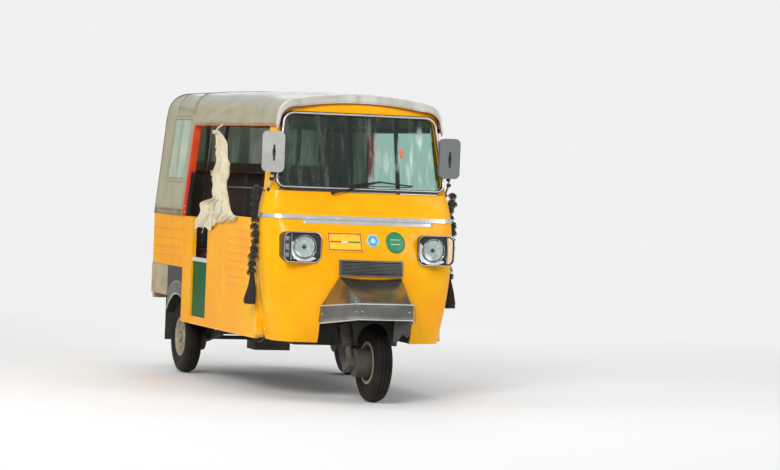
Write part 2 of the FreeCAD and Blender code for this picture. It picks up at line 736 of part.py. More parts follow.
def make_guard():
    plate = side_slab(SIDE_WALL / 2, PLATE_T, PANEL_REAR_Y, POST_FRONT_Y, SILL_TOP_Z, GUARD_TOP_Z)
    PARTS["guard_plate"] = plate
    low = side_slab(SIDE_WALL / 2 - RAIL_T / 2, RAIL_T, PANEL_REAR_Y, POST_FRONT_Y,
                    GUARD_TOP_Z, GUARD_TOP_Z + RAIL_H)
    high = side_slab(SIDE_WALL, RAIL_T, PANEL_REAR_Y - UPPER_RAIL_LAP, POST_FRONT_Y + UPPER_RAIL_REACH,
                     UPPER_RAIL_Z - RAIL_H, UPPER_RAIL_Z)
    PARTS["guard_rails"] = Part.makeCompound([low, high])


def wheel_well(radius, x0, x1):
    return Part.makeCylinder(radius, x1 - x0, V(x0, REAR_WHEEL_Y, TYRE_R), V(1, 0, 0))


def make_rear_quarters():
    wall = side_slab(0, SIDE_WALL, POST_FRONT_Y, QUARTER_REAR_Y)
    outline = [(POST_FRONT_Y, SILL_Z), (POST_FRONT_Y, BELT_Z), (QUARTER_REAR_Y, BELT_Z),
               (QUARTER_REAR_Y, DECK_Z), (POST_REAR_Y, DECK_Z), (POST_REAR_Y, SILL_Z)]
    quarter = wall.common(prism_x(outline, -FAR_SIDE, 0.0))
    quarter = quarter.cut(wheel_well(WELL_R - WELL_GAP, -side_x(POST_FRONT_Y) + SKIN_T, -WELL_IN_X))
    ribs = proud_ribs(QUARTER_RIB_FRONT_Y, QUARTER_RIB_REAR_Y, QUARTER_RIB_LOW_Z, QUARTER_RIB_PITCH,
                      QUARTER_RIB_W, QUARTER_RIB_COUNT)
    solid = quarter.fuse(ribs).removeSplitter()
    PARTS["rear_quarter_right"] = solid
    PARTS["rear_quarter_left"] = mirrored(solid)


def plan_between_sides(inset, y0, y1, z0, z1):
    outline = [(-(side_x(y0) - inset), y0), (side_x(y0) - inset, y0),
               (side_x(y1) - inset, y1), (-(side_x(y1) - inset), y1)]
    return prism_z(outline, z0, z1)


def make_floor():
    low = FLOOR_Z - FLOOR_T
    cabin = plan_between_sides(SIDE_WALL, PANEL_FRONT_Y, RISER_Y, low, FLOOR_Z)
    nose_inside = nose_solid(-SHELL_WALL - SEAT_GAP, OPEN_BACK)
    wings = box(-FAR_SIDE, FAR_SIDE, FAR_FRONT, PANEL_FRONT_Y + SINK, low, FLOOR_Z).common(nose_inside)
    housing = box(-HOUSING_HALF, HOUSING_HALF, FAR_FRONT, HOUSING_BACK_Y, SILL_Z, HOUSING_TOP_Z)
    PARTS["floor_pan"] = cabin.fuse(wings).cut(housing).removeSplitter()
    deck = plan_between_sides(SIDE_WALL, RISER_Y, TAIL_Y - TAIL_T, DECK_Z - FLOOR_T, DECK_Z)
    riser = plan_between_sides(SIDE_WALL, RISER_Y, RISER_Y + PLATE_T, low, DECK_Z - FLOOR_T)
    PARTS["rear_deck"] = deck.fuse(riser).removeSplitter()


def make_tail():
    outer = plan_between_sides(SIDE_WALL, TAIL_Y - TAIL_T, TAIL_Y, DECK_Z, BELT_Z)
    opening = box(-LID_HALF - LID_GAP, LID_HALF + LID_GAP, TAIL_Y - TAIL_T - SINK, TAIL_Y + SINK,
                  DECK_Z - SINK, LID_TOP_Z + LID_GAP)
    ears = []
    for x in (-HINGE_X, HINGE_X):
        reach = HINGE_LEN / 2 + SINK
        for x0, x1 in ((x - reach - HINGE_EAR_W, x - reach), (x + reach, x + reach + HINGE_EAR_W)):
            ears.append(box(x0, x1, TAIL_Y - SINK, HINGE_Y + HINGE_PIN_R,
                            HINGE_Z - HINGE_PIN_R, HINGE_Z + HINGE_PIN_R))
        ears.append(rod((x - reach - SINK, HINGE_Y, HINGE_Z), (x + reach + SINK, HINGE_Y, HINGE_Z),
                        HINGE_PIN_R))
    PARTS["tail_panel"] = outer.cut(opening).fuse(ears).removeSplitter()

    lid = box(-LID_HALF, LID_HALF, TAIL_Y - LID_T, TAIL_Y, LID_LOW_Z, LID_TOP_Z)
    louvres = []
    for i in range(LOUVRE_COUNT):
        z = LOUVRE_LOW_Z + i * LOUVRE_PITCH
        louvres.append(prism_x([(TAIL_Y - SINK, z), (TAIL_Y + LOUVRE_DEPTH, z),
                                (TAIL_Y - SINK, z + LOUVRE_H)], -LOUVRE_HALF, LOUVRE_HALF))
    knuckles = []
    for x in (-HINGE_X, HINGE_X):
        x0, x1 = x - HINGE_LEN / 2, x + HINGE_LEN / 2
        barrel = rod((x0, HINGE_Y, HINGE_Z), (x1, HINGE_Y, HINGE_Z), HINGE_R)
        bore = rod((x0 - SINK, HINGE_Y, HINGE_Z), (x1 + SINK, HINGE_Y, HINGE_Z), HINGE_PIN_R + RUN_CLEAR)
        knuckles.append(barrel.cut(bore))
        knuckles.append(box(x0, x1, TAIL_Y - SINK, HINGE_Y, HINGE_LEAF_Z, LID_TOP_Z))
        knuckles.append(box(x0, x1, HINGE_Y - HINGE_R, HINGE_Y, LID_TOP_Z - SINK,
                            HINGE_Z - HINGE_PIN_R - SINK))
    PARTS["rear_lid"] = lid.fuse(louvres + knuckles).removeSplitter()

    lamps = []
    for x in (-TAIL_LAMP_X, TAIL_LAMP_X):
        lamps.append(box(x - TAIL_LAMP_HALF, x + TAIL_LAMP_HALF, TAIL_Y, REAR_Y - SINK,
                         TAIL_LAMP_LOW_Z, TAIL_LAMP_TOP_Z))
    PARTS["tail_lamps"] = Part.makeCompound(lamps)


def hood_wire(section, grow):
    y, foot, shoulder, shoulder_z, crown_z, corner_r = section
    middle, joint = tangent_corner(shoulder, shoulder_z, crown_z, corner_r, grow)
    right = [V(-foot - grow, y, BELT_Z), V(-shoulder - grow, y, shoulder_z),
             V(-middle[0], y, middle[1]), V(-joint[0], y, joint[1])]
    left = [V(-p.x, p.y, p.z) for p in right]
    top = V(0, y, crown_z + grow)
    return closed_wire([line(right[0], right[1]), arc(right[1], right[2], right[3]),
                        arc(right[3], top, left[3]), arc(left[3], left[2], left[1]),
                        line(left[1], left[0]), line(left[0], right[0])])


def hood_solid(grow, front_shift=0.0):
    body = Part.makeLoft([hood_wire(s, grow) for s in HOOD_SECTIONS], True, True)
    g = grow

    def p(y, z):
        return V(-FAR_SIDE, y, z)

    front = HOOD_FRONT_Y - front_shift
    top = p(HOOD_ROUND_END[0], HOOD_ROUND_END[1] + g)
    bend = p(HOOD_ROUND_MID[0] + g, HOOD_ROUND_MID[1] + g)
    back = p(HOOD_BACK_Y + g, HOOD_BACK_Z)
    heel = p(HOOD_BACK_FOOT_Y + g, BELT_Z)
    under = BELT_Z - CANVAS_T
    wire = closed_wire([line(p(front, under), p(front, FAR_TOP)),
                        line(p(front, FAR_TOP), p(HOOD_ROUND_END[0], FAR_TOP)),
                        line(p(HOOD_ROUND_END[0], FAR_TOP), top), arc(top, bend, back), line(back, heel),
                        line(heel, p(HOOD_BACK_FOOT_Y + g, under)),
                        line(p(HOOD_BACK_FOOT_Y + g, under), p(front, under))])
    return body.common(Part.Face(wire).extrude(V(2 * FAR_SIDE, 0, 0)))


def hood_openings():
    side = prism_x([(FAR_FRONT, BELT_Z - SINK), (FAR_FRONT, OPENING_TOP_Z),
                    (OPENING_REAR_TOP_Y, OPENING_TOP_Z), (OPENING_REAR_FOOT_Y, BELT_Z - SINK)],
                   -FAR_SIDE, FAR_SIDE)
    windows = prism_x(list(SIDE_WINDOW), -FAR_SIDE, FAR_SIDE)
    cuts = [side, windows]
    edges = (-REAR_WINDOW_HALF, -REAR_STRAP_X - REAR_STRAP_W / 2, -REAR_STRAP_X + REAR_STRAP_W / 2,
             REAR_STRAP_X - REAR_STRAP_W / 2, REAR_STRAP_X + REAR_STRAP_W / 2, REAR_WINDOW_HALF)
    for x0, x1 in zip(edges[0::2], edges[1::2]):
        cuts.append(box(x0, x1, HOOD_ROUND_END[0], FAR_REAR, REAR_WINDOW_LOW_Z, REAR_WINDOW_TOP_Z))
    return cuts


def make_hood():
    outer = hood_solid(0.0)
    inner = hood_solid(-CANVAS_T, SINK)
    shell = outer.cut([inner] + hood_openings())
    PARTS["hood_canvas"] = shell

    frame_out = hood_solid(-CANVAS_T - FRAME_INSET, -BOW_T)
    frame_in = hood_solid(-CANVAS_T - FRAME_INSET - BOW_T, BOW_T)
    layer = frame_out.cut(frame_in)
    keep = []
    for y in BOW_STATIONS:
        keep.append(box(-FAR_SIDE, FAR_SIDE, y - BOW_W / 2, y + BOW_W / 2, BELT_Z, FAR_TOP))
    band_z = OPENING_TOP_Z + BAND_LIFT
    keep.append(box(-FAR_SIDE, FAR_SIDE, HOOD_FRONT_Y, FAR_REAR, band_z, band_z + RAIL_BAND_Z))
    bows = layer.common(fused(keep))
    # The rear band stays clear of the rear window, and the first bow has no legs
    first, second = BOW_STATIONS[:2]
    clear = [box(-REAR_WINDOW_HALF, REAR_WINDOW_HALF, HOOD_ROUND_END[0], FAR_REAR, BELT_Z, FAR_TOP),
             box(-FAR_SIDE, FAR_SIDE, first - BOW_W, first + BOW_W, BELT_Z - SINK, OPENING_TOP_Z),
             box(-FAR_SIDE, 0.0, second - BOW_W, second + BOW_W, BELT_Z - SINK, PANEL_TOP_Z)]
    foot = side_x(second) - SIDE_WALL
    left_post = box(foot + POST_INSET, foot + SIDE_WALL, second - BOW_W / 2, second + BOW_W / 2,
                    SILL_TOP_Z, BELT_Z + POST_LAP)
    bows = bows.cut(clear).fuse(left_post)
    PARTS["hood_frame"] = bows.cut(screen_solid(SEAL_PROUD + SEAT_GAP)).removeSplitter()

    sheet = hood_solid(-CANVAS_T / 2 + PANE_T / 2).cut(hood_solid(-CANVAS_T / 2 - PANE_T / 2))
    pane = sheet.common(prism_x(list(SIDE_WINDOW), -FAR_SIDE, 0.0))
    PARTS["hood_windows"] = Part.makeCompound([pane, mirrored(pane)])


def cushion(corners):
    solid = block(corners)
    return solid.makeFillet(CUSHION_R, solid.Edges)


def make_seats():
    PARTS["driver_cushion"] = cushion(DRIVER_SEAT)
    PARTS["driver_backrest"] = cushion(DRIVER_BACK)
    x0, x1, y0, y1, z0, _ = DRIVER_SEAT
    base = box(x0 + SEAT_BASE_INSET, x1 - SEAT_BASE_INSET, y0 + SEAT_BASE_INSET,
               y1 - SEAT_BASE_INSET, FLOOR_Z, z0)
    back = DRIVER_BACK[3]
    posts = []
    for x in (-BACK_POST_X, BACK_POST_X):
        posts.append(box(x - BACK_POST_HALF, x + BACK_POST_HALF, back, back + BACK_POST_T, FLOOR_Z,
                         BACK_POST_TOP_Z))
        posts.append(box(x - BACK_POST_HALF, x + BACK_POST_HALF, y1 - SEAT_BASE_INSET - SINK,
                         back + BACK_POST_T, FLOOR_Z, FLOOR_Z + BACK_FOOT_H))
    driver_base = base.fuse(posts).removeSplitter()
    PARTS["bench_cushion"] = cushion(BENCH)
    PARTS["bench_backrest"] = cushion(BENCH_BACK)
    x0, x1, _, y1, _, z1 = BENCH_BACK
    top = z1 - BENCH_RAIL_DROP
    inset = BENCH_POST_INSET
    stand = [box(x - BENCH_POST_HALF, x + BENCH_POST_HALF, y1, y1 + BENCH_POST_T, DECK_Z, top)
             for x in (x0 + inset, 0.0, x1 - inset)]
    rail = box(x0 + inset - BENCH_POST_HALF, x1 - inset + BENCH_POST_HALF, y1, y1 + BENCH_POST_T,
               top - BENCH_RAIL_H, top)
    PARTS["seat_frames"] = Part.makeCompound([driver_base, fused(stand + [rail])])


def make_chassis():
    pieces = []
    top = FLOOR_Z - FLOOR_T
    for x in (-RAIL_X, RAIL_X):
        pieces.append(box(x - RAIL_W / 2, x + RAIL_W / 2, RAIL_FRONT_Y, RAIL_REAR_Y, RAIL_LOW_Z, top))
    for y in CROSS_STATIONS:
        pieces.append(box(-RAIL_X, RAIL_X, y - CROSS_W / 2, y + CROSS_W / 2, RAIL_LOW_Z, top))
    PARTS["chassis_frame"] = fused(pieces)
    PARTS["engine_block"] = block(ENGINE).fuse(block(GEARBOX)).removeSplitter()


def make_rear_suspension():
    pieces = [rod((-ARM_X - ARM_W / 2, PIVOT_Y, PIVOT_Z), (ARM_X + ARM_W / 2, PIVOT_Y, PIVOT_Z), PIVOT_R)]
    axle_y, axle_z = REAR_WHEEL_Y, TYRE_R
    for side in (-1, 1):
        x = side * ARM_X
        face = side * (ARM_X + ARM_W / 2 - SINK)
        pieces.append(prism_x([(PIVOT_Y - ARM_FRONT, PIVOT_Z - ARM_FRONT_LOW),
                               (PIVOT_Y - ARM_FRONT, PIVOT_Z + ARM_FRONT_TOP),
                               (axle_y + ARM_REAR, axle_z + ARM_REAR_HALF),
                               (axle_y + ARM_REAR, axle_z - ARM_REAR_HALF)],
                              x - ARM_W / 2, x + ARM_W / 2))
        pieces.append(rod((x, axle_y, axle_z), (side * (REAR_WHEEL_X + STUB_PAST), axle_y, axle_z), STUB_R))
        pieces.append(rod((side * GEARBOX[1], axle_y, axle_z), (x, axle_y, axle_z), SHAFT_R))
        pieces.append(rod((face, axle_y, axle_z), (side * (REAR_WHEEL_X - DRUM_INSET), axle_y, axle_z),
                          DRUM_R))
        rail = side * RAIL_X
        pieces.append(box(rail - PIVOT_BLOCK, rail + PIVOT_BLOCK, PIVOT_Y - PIVOT_BLOCK,
                          PIVOT_Y + PIVOT_BLOCK, PIVOT_Z - PIVOT_R, RAIL_LOW_Z))
        pieces.append(rod((x, axle_y - SPRING_AHEAD, axle_z + SPRING_FOOT),
                          (x, axle_y - SPRING_AHEAD, DECK_Z - FLOOR_T), SPRING_R))
    PARTS["rear_suspension"] = fused(pieces)


def make_fenders():
    over_deck = DECK_Z - FLOOR_T
    skin = wheel_well(WELL_R + PLATE_T, -FAR_SIDE, -WELL_IN_X).cut(
        wheel_well(WELL_R, -FAR_SIDE - SINK, 0.0))
    keep = box(-FAR_SIDE, 0.0, RISER_Y + PLATE_T + SINK, FLAP_Y + FLAP_T, FENDER_LOW_Z, over_deck)
    tunnel = skin.common(keep).common(side_slab(TUNNEL_INSET, SIDE_X, RISER_Y, REAR_Y))
    outer_face = side_slab(FENDER_INSET, PLATE_T, POST_REAR_Y, BUMPER_FRONT_Y, FENDER_LOW_Z, DECK_Z)
    outer_face = outer_face.cut(wheel_well(WELL_LIP_R, -FAR_SIDE, 0.0))
    band = skin.common(side_slab(FENDER_INSET, FENDER_BAND, POST_REAR_Y, BUMPER_FRONT_Y,
                                 FENDER_LOW_Z, over_deck))
    strut = box(-WELL_IN_X - STRUT_INSET - STRUT_W, -WELL_IN_X - STRUT_INSET,
                REAR_WHEEL_Y - STRUT_W / 2, REAR_WHEEL_Y + STRUT_W / 2,
                TYRE_R + WELL_R + SINK, over_deck)
    solid = tunnel.fuse([outer_face, band, strut]).removeSplitter()
    PARTS["rear_fenders"] = both_sides(solid.cut(PARTS["rear_quarter_right"]))
    flap = box(-side_x(FLAP_Y) + FLAP_INSET, -WELL_IN_X, FLAP_Y + FLAP_T + SEAT_GAP, FLAP_Y + 2 * FLAP_T,
               FLAP_LOW_Z, over_deck)
    PARTS["mud_flaps"] = both_sides(flap)


def make_bumper():
    face_y = REAR_Y - BUMPER_SET
    top = DECK_Z - SINK
    pieces = []
    for side in (-1, 1):
        slab = side_slab(-BUMPER_PROUD, BUMPER_PROUD + PLATE_T, BUMPER_FRONT_Y, face_y,
                         BUMPER_LOW_Z, top)
        pieces.append(slab if side < 0 else mirrored(slab))
        ends = sorted((side * BUMPER_IN_X, side * side_x(REAR_Y)))
        pieces.append(box(ends[0], ends[1], face_y - BUMPER_LAP, face_y, BUMPER_LOW_Z, top))
        rail = side * RAIL_X
        pieces.append(box(rail - BRACKET_HALF, rail + BRACKET_HALF, RAIL_REAR_Y, RAIL_REAR_Y + BRACKET_DEPTH,
                          RAIL_LOW_Z, BAR_LOW_Z + SINK))
    half = side_x(REAR_Y) - BAR_INSET
    pieces.append(box(-half, half, REAR_Y - BAR_DEPTH, REAR_Y, BAR_LOW_Z, BUMPER_LOW_Z + PLATE_T))
    pieces.append(rod((-TOW_W / 2, TOW_Y, TOW_Z), (TOW_W / 2, TOW_Y, TOW_Z), TOW_R))
    pieces.append(box(-TOW_W / 2, TOW_W / 2, TOW_Y - TOW_R, TOW_Y + TOW_R, TOW_Z, BAR_LOW_Z + SINK))
    eye = rod((-TOW_W, TOW_Y, TOW_Z), (TOW_W, TOW_Y, TOW_Z), TOW_HOLE_R)
    PARTS["rear_bumper"] = fused(pieces).cut(eye)


def rim_solid():
    """A pressed steel wheel about the X axis, its outer side towards -X."""
    half = RIM_W / 2
    bore = STUB_R + RUN_CLEAR
    lip, seat = RIM_R + RIM_FLANGE, RIM_R - SEAT_GAP
    dish = [(-half, lip)] + list(RIM_DISH_OUTER) + [(-HUB_OUT, bore), (HUB_IN, bore)] + list(RIM_DISH_INNER)
    barrel = [(half, lip), (half - RIM_LIP_T, lip), (half - RIM_LIP_T, seat),
              (-half + RIM_LIP_T, seat), (-half + RIM_LIP_T, lip)]
    points = [V(x, 0, r) for x, r in dish + barrel]
    face = Part.Face(Part.makePolygon(points + points[:1]))
    return face.revolve(V(0, 0, 0), V(1, 0, 0), 360)


def tyre_solid():
    half = TYRE_W / 2
    bead = RIM_W / 2 - RIM_LIP_T - SEAT_GAP
    bead_r = RIM_R + BEAD_H
    crown = V(0, 0, TYRE_R)
    shoulder_x, shoulder_r = half - SHOULDER_IN, TYRE_R - SHOULDER_DROP
    belly = TYRE_R - TYRE_BELLY

    def p(x, r):
        return V(x, 0, r)

    wire = closed_wire([
        line(p(bead, RIM_R), p(-bead, RIM_R)),
        line(p(-bead, RIM_R), p(-bead, bead_r)),
        arc(p(-bead, bead_r), p(-half, belly), p(-shoulder_x, shoulder_r)),
        arc(p(-shoulder_x, shoulder_r), crown, p(shoulder_x, shoulder_r)),
        arc(p(shoulder_x, shoulder_r), p(half, belly), p(bead, bead_r)),
        line(p(bead, bead_r), p(bead, RIM_R))])
    return Part.Face(wire).revolve(V(0, 0, 0), V(1, 0, 0), 360)


def make_wheels():
    rim, tyre = rim_solid(), tyre_solid()
    places = (("front", FRONT_WHEEL_X, FRONT_WHEEL_Y, -1), ("rear_right", -REAR_WHEEL_X, REAR_WHEEL_Y, 1),
              ("rear_left", REAR_WHEEL_X, REAR_WHEEL_Y, -1))
    for name, x, y, side in places:
        for kind, shape in (("rim", rim), ("tyre", tyre)):
            solid = shape.copy() if side > 0 else mirrored(shape)
            solid.translate(V(x, y, TYRE_R))
            PARTS[kind + "_" + name] = solid


def column_block(x0, x1, behind, ahead, low, top):
    """A block in column coordinates: across, behind and ahead of the axis, along it."""
    return box(x0, x1, -ahead, behind, low, top)


def make_handlebar():
    level = BAR_AT + BAR_LIFT
    bars = [Part.makeCylinder(COLUMN_R + BAR_R, BAR_CLAMP_H, V(0, 0, BAR_AT))]
    for side in (-1, 1):
        middle = V(0, 0, level)
        bend = V(side * BAR_STRAIGHT, 0, level)
        tip = V(side * (BAR_HALF - BAR_TIP), BAR_SWEEP * BAR_TIP_SHARE, level)
        end = V(side * BAR_HALF, BAR_SWEEP, level)
        for a, b in ((middle, bend), (bend, tip), (tip, end)):
            bars.append(Part.makeCylinder(BAR_R, (b - a).Length, a, b - a))
            bars.append(Part.makeSphere(BAR_R, b))
    PARTS["handlebar"] = steer_place(fused(bars))


def make_fork():
    ahead, along = wheel_ahead_along()
    across = V(1, 0, 0)
    column = Part.makeCylinder(COLUMN_R, BAR_AT - CROWN_TOP + COLUMN_SINK, V(0, 0, CROWN_TOP - COLUMN_SINK))
    boss = Part.makeCylinder(HEAD_R, HEAD_LOW - CROWN_TOP - SEAT_GAP, V(0, 0, CROWN_TOP))
    crown = column_block(LEG_X - CROWN_IN, CROWN_OUT_X, CROWN_BEHIND, ahead + CROWN_REACH,
                         CROWN_LOW, CROWN_TOP)
    left, right = LEG_X - LEG_HALF, LEG_X + LEG_HALF
    leg = column_block(left, right, LEG_BEHIND, LEG_AHEAD, along - LINK_DOWN, CROWN_LOW)
    link = column_block(left, right, LEG_BEHIND, ahead + LINK_REACH, along - LINK_DOWN, along + LINK_UP)
    hub = V(LEG_X, -ahead, along)
    stub = Part.makeCylinder(STUB_R, FRONT_WHEEL_X + FRONT_STUB_PAST - LEG_X, hub, across)
    drum = Part.makeCylinder(DRUM_R, FRONT_WHEEL_X - DRUM_INSET - right, V(right, -ahead, along), across)
    strut = Part.makeCylinder(STRUT_R, CROWN_LOW - along - LINK_UP, V(LEG_X, -ahead, along + LINK_UP))
    rings = []
    for i in range(BOOT_COUNT):
        foot = V(LEG_X, -ahead, CROWN_LOW - BOOT_START - i * BOOT_PITCH)
        rings.append(Part.makeCylinder(BOOT_R, BOOT_RIB, foot))
    PARTS["front_fork"] = steer_place(fused([column, boss, crown, leg, link, stub, drum, strut] + rings))


def make_mirrors():
    x0, x1 = -MIRROR_X - MIRROR_W / 2, -MIRROR_X + MIRROR_W / 2
    z0, z1 = MIRROR_Z - MIRROR_H / 2, MIRROR_Z + MIRROR_H / 2
    head = rounded_prism_y([(x0, z0), (x1, z0), (x1, z1), (x0, z1)], MIRROR_CORNER_R,
                           MIRROR_Y, MIRROR_Y + MIRROR_T)
    back = MIRROR_Y + MIRROR_T / 2
    knee = (STALK_KNEE_X, back, STALK_KNEE_Z)
    stalk = [rod(STALK_FOOT, knee, STALK_R), Part.makeSphere(STALK_R, V(*knee)),
             rod(knee, (-MIRROR_X, back, z0 + STALK_R), STALK_R)]
    solid = fused([head] + stalk).cut([nose_solid(SEAT_GAP), screen_solid(SEAT_GAP)])
    PARTS["mirrors"] = both_sides(solid)


def make_wiper():
    x, z = WIPER_PIVOT
    pivot = rod((x, WIPER_ROOT_Y, z), (x, WIPER_FOOT_Y, z), WIPER_BOSS_R)
    joint = (WIPER_JOINT[0], WIPER_TIP_Y, WIPER_JOINT[1])
    arm = rod((x, WIPER_FOOT_Y, z), joint, WIPER_R)
    blades = [rod(joint, (x_end, WIPER_TIP_Y, z_end), WIPER_R) for x_end, z_end in WIPER_BLADE]
    knob = Part.makeSphere(WIPER_KNOB_R, V(*joint))
    PARTS["wiper"] = fused([pivot, arm, knob] + blades).cut([screen_solid(SEAT_GAP), nose_solid(SEAT_GAP)])


def make_garlands():
    beads = []
    pitch = 2 * GARLAND_R - GARLAND_LAP
    for i in range(GARLAND_COUNT):
        beads.append(Part.makeSphere(GARLAND_R, V(-GARLAND_X, GARLAND_Y, GARLAND_TOP_Z - i * pitch)))
    low = GARLAND_TOP_Z - (GARLAND_COUNT - 1) * pitch
    beads.append(Part.makeCone(FRINGE_FOOT_R, FRINGE_TOP_R, low - FRINGE_LOW_Z,
                               V(-GARLAND_X, GARLAND_Y, FRINGE_LOW_Z)))
    PARTS["garlands"] = both_sides(fused(beads))


def make_curtain():
    slab = side_slab(-CURTAIN_T - SEAT_GAP, CURTAIN_T, CURTAIN_FRONT_Y, POST_FRONT_Y)
    PARTS["curtain"] = slab.common(prism_x(list(CURTAIN_OUTLINE), -FAR_SIDE, 0.0))


def main():
    make_nose()
    make_wheel_housing()
    make_shroud()
    make_screen()
    make_dashboard()
    make_head_lamps()
    make_side_panels()
    make_guard()
    make_rear_quarters()
    make_floor()
    make_tail()
    make_hood()
    make_seats()
    make_chassis()
    make_rear_suspension()
    make_fenders()
    make_bumper()
    make_wheels()
    make_handlebar()
    make_fork()
    make_mirrors()
    make_wiper()
    make_garlands()
    make_curtain()
    os.makedirs("parts", exist_ok=True)
    for name, shape in PARTS.items():
        box_of = shape.BoundBox
        print("%-22s solids %d valid %s volume %.4f m3  X %.0f..%.0f Y %.0f..%.0f Z %.0f..%.0f" % (
            name, len(shape.Solids), shape.isValid(), shape.Volume / 1e9, box_of.XMin, box_of.XMax,
            box_of.YMin, box_of.YMax, box_of.ZMin, box_of.ZMax))
        shape.exportStep("parts/%s.step" % name)


main()
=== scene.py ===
"""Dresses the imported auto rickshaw: cloth, glass, lamps, trim, tyres and finishes.

Everything is in metres in the frame of the CAD model: +Z up, -Y the front and
+X the vehicle's left side.
"""
import json
import math
import random
import bmesh
import bpy
from bpy.props import FloatProperty, FloatVectorProperty, IntProperty, PointerProperty
from mathutils import Matrix, Vector, noise
from mathutils.bvhtree import BVHTree


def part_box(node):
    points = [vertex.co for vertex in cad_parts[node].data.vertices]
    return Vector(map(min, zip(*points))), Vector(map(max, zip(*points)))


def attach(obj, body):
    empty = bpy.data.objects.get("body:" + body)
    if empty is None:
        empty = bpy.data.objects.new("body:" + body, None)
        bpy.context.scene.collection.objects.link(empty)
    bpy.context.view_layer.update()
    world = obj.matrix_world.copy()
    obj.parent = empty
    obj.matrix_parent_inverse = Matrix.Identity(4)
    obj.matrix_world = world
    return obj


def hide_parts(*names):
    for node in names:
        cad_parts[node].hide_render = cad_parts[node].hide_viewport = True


bl_info = {
    "name": "Auto Rickshaw Dressing",
    "version": (1, 0, 0),
    "blender": (4, 5, 0),
    "location": "View3D > Sidebar > Rickshaw",
    "description": "Cloth, glass, lamps, trim and finishes of a three-wheeled vehicle",
    "category": "Object",
}

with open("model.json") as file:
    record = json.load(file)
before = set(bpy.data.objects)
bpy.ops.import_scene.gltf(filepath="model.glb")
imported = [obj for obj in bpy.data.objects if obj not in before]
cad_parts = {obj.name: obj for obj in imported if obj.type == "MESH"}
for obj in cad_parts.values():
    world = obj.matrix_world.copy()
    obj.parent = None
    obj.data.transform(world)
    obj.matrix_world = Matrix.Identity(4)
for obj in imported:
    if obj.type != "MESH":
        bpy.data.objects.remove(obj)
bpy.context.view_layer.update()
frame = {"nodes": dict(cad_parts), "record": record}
ALONG, ACROSS, UP = Vector((0, 1, 0)), Vector((1, 0, 0)), Vector((0, 0, 1))


# Sizes shared with the CAD model
SIDE_X, SIDE_TAPER = 0.664, 0.0305
BELT_Z = 1.105
# Hood sections: station, half width at the foot, half width at the shoulder,
# shoulder height, crown height, corner radius
HOOD_SECTIONS = (
    (-0.945, 0.648, 0.556, 1.800, 1.962, 0.120),
    (-0.300, 0.668, 0.604, 1.835, 1.988, 0.125),
    (0.720, 0.698, 0.645, 1.850, 1.998, 0.120),
    (1.600, 0.714, 0.656, 1.850, 1.996, 0.120),
)
HOOD_FRONT_Y = -0.928
# The hood's back seen from the side: foot, top of the straight, middle and end of the round
HOOD_BACK = ((1.542, 1.105), (1.492, 1.690), (1.448, 1.882), (1.290, 2.004))
OPENING_TOP_Z = 1.742
OPENING_REAR = ((0.722, 1.742), (0.800, 1.105))
SIDE_WINDOW = ((0.850, 1.785), (1.262, 1.785), (1.318, 1.360), (0.905, 1.360))
REAR_WINDOW_Z = (1.490, 1.752)
REAR_WINDOW_X = ((-0.500, -0.363), (-0.327, 0.327), (0.363, 0.500))
BOW_STATIONS = (-0.380, 0.100, 0.760, 1.180)
WHEELS = (  # name, across, along, body, outer side
    ("front", 0.035, -1.260, "front_wheel", 1),
    ("rear_right", -0.610, 0.920, "rear_wheel_right", -1),
    ("rear_left", 0.610, 0.920, "rear_wheel_left", 1),
)
WHEEL_Z = 0.250
RAKE = math.radians(25)
STEER_GROUND = Vector((0, -1.300, 0))


def side_x(y):
    """Half width of the body's side at a station."""
    return SIDE_X + SIDE_TAPER * y


def srgb(red, green, blue):
    """Linear colour from 8-bit display values."""
    def linear(value):
        value /= 255
        return value / 12.92 if value <= 0.04045 else ((value + 0.055) / 1.055) ** 2.4
    return linear(red), linear(green), linear(blue)


# What a user would change
def colour(name, description, value):
    return FloatVectorProperty(name=name, description=description, default=value,
                               subtype="COLOR", size=3, min=0, max=1)


def size(name, description, value):
    return FloatProperty(name=name, description=description, default=value, unit="LENGTH",
                         subtype="DISTANCE", min=0)


class RickshawPaint(bpy.types.PropertyGroup):
    body: colour("Body", "Paint of the steel body", srgb(255, 170, 0))
    plate: colour("Guard plate", "Paint of the low plate beside the passengers", srgb(0, 84, 40))
    strip: colour("Pillar strip", "Painted strip behind the side opening", srgb(222, 52, 10))
    cloth: colour("Hood cloth", "Cloth of the hood's sides", srgb(166, 160, 126))
    crown: colour("Hood crown", "Bleached cloth on top of the hood", srgb(158, 158, 151))
    curtain: colour("Curtain", "Cloth of the gathered curtain", srgb(228, 219, 190))


class RickshawHood(bpy.types.PropertyGroup):
    sag: size("Sag", "How far the cloth sinks between two bows", 0.009)
    fold: size("Fold", "Height of the soft folds over the side opening", 0.011)
    cloth: size("Cloth", "Thickness of the hood's cloth", 0.003)


class RickshawWheels(bpy.types.PropertyGroup):
    groove: size("Groove", "Depth of the tread's grooves", 0.006)
    steps: IntProperty(name="Steps", description="Steps round each tyre", default=40, min=24, max=96)


class RickshawSeats(bpy.types.PropertyGroup):
    channel: size("Channel", "Depth of the sewn channels", 0.007)
    voxel: size("Voxel", "Size of the cells that the padding is rebuilt from", 0.009)


class RickshawYarn(bpy.types.PropertyGroup):
    strands: IntProperty(name="Strands", description="Strands of yarn on each garland",
                         default=2400, min=100, max=4000)
    length: size("Strand", "Length of a strand of yarn", 0.034)


GROUPS = (("rickshaw_paint", RickshawPaint), ("rickshaw_hood", RickshawHood),
          ("rickshaw_wheels", RickshawWheels), ("rickshaw_seats", RickshawSeats),
          ("rickshaw_yarn", RickshawYarn))


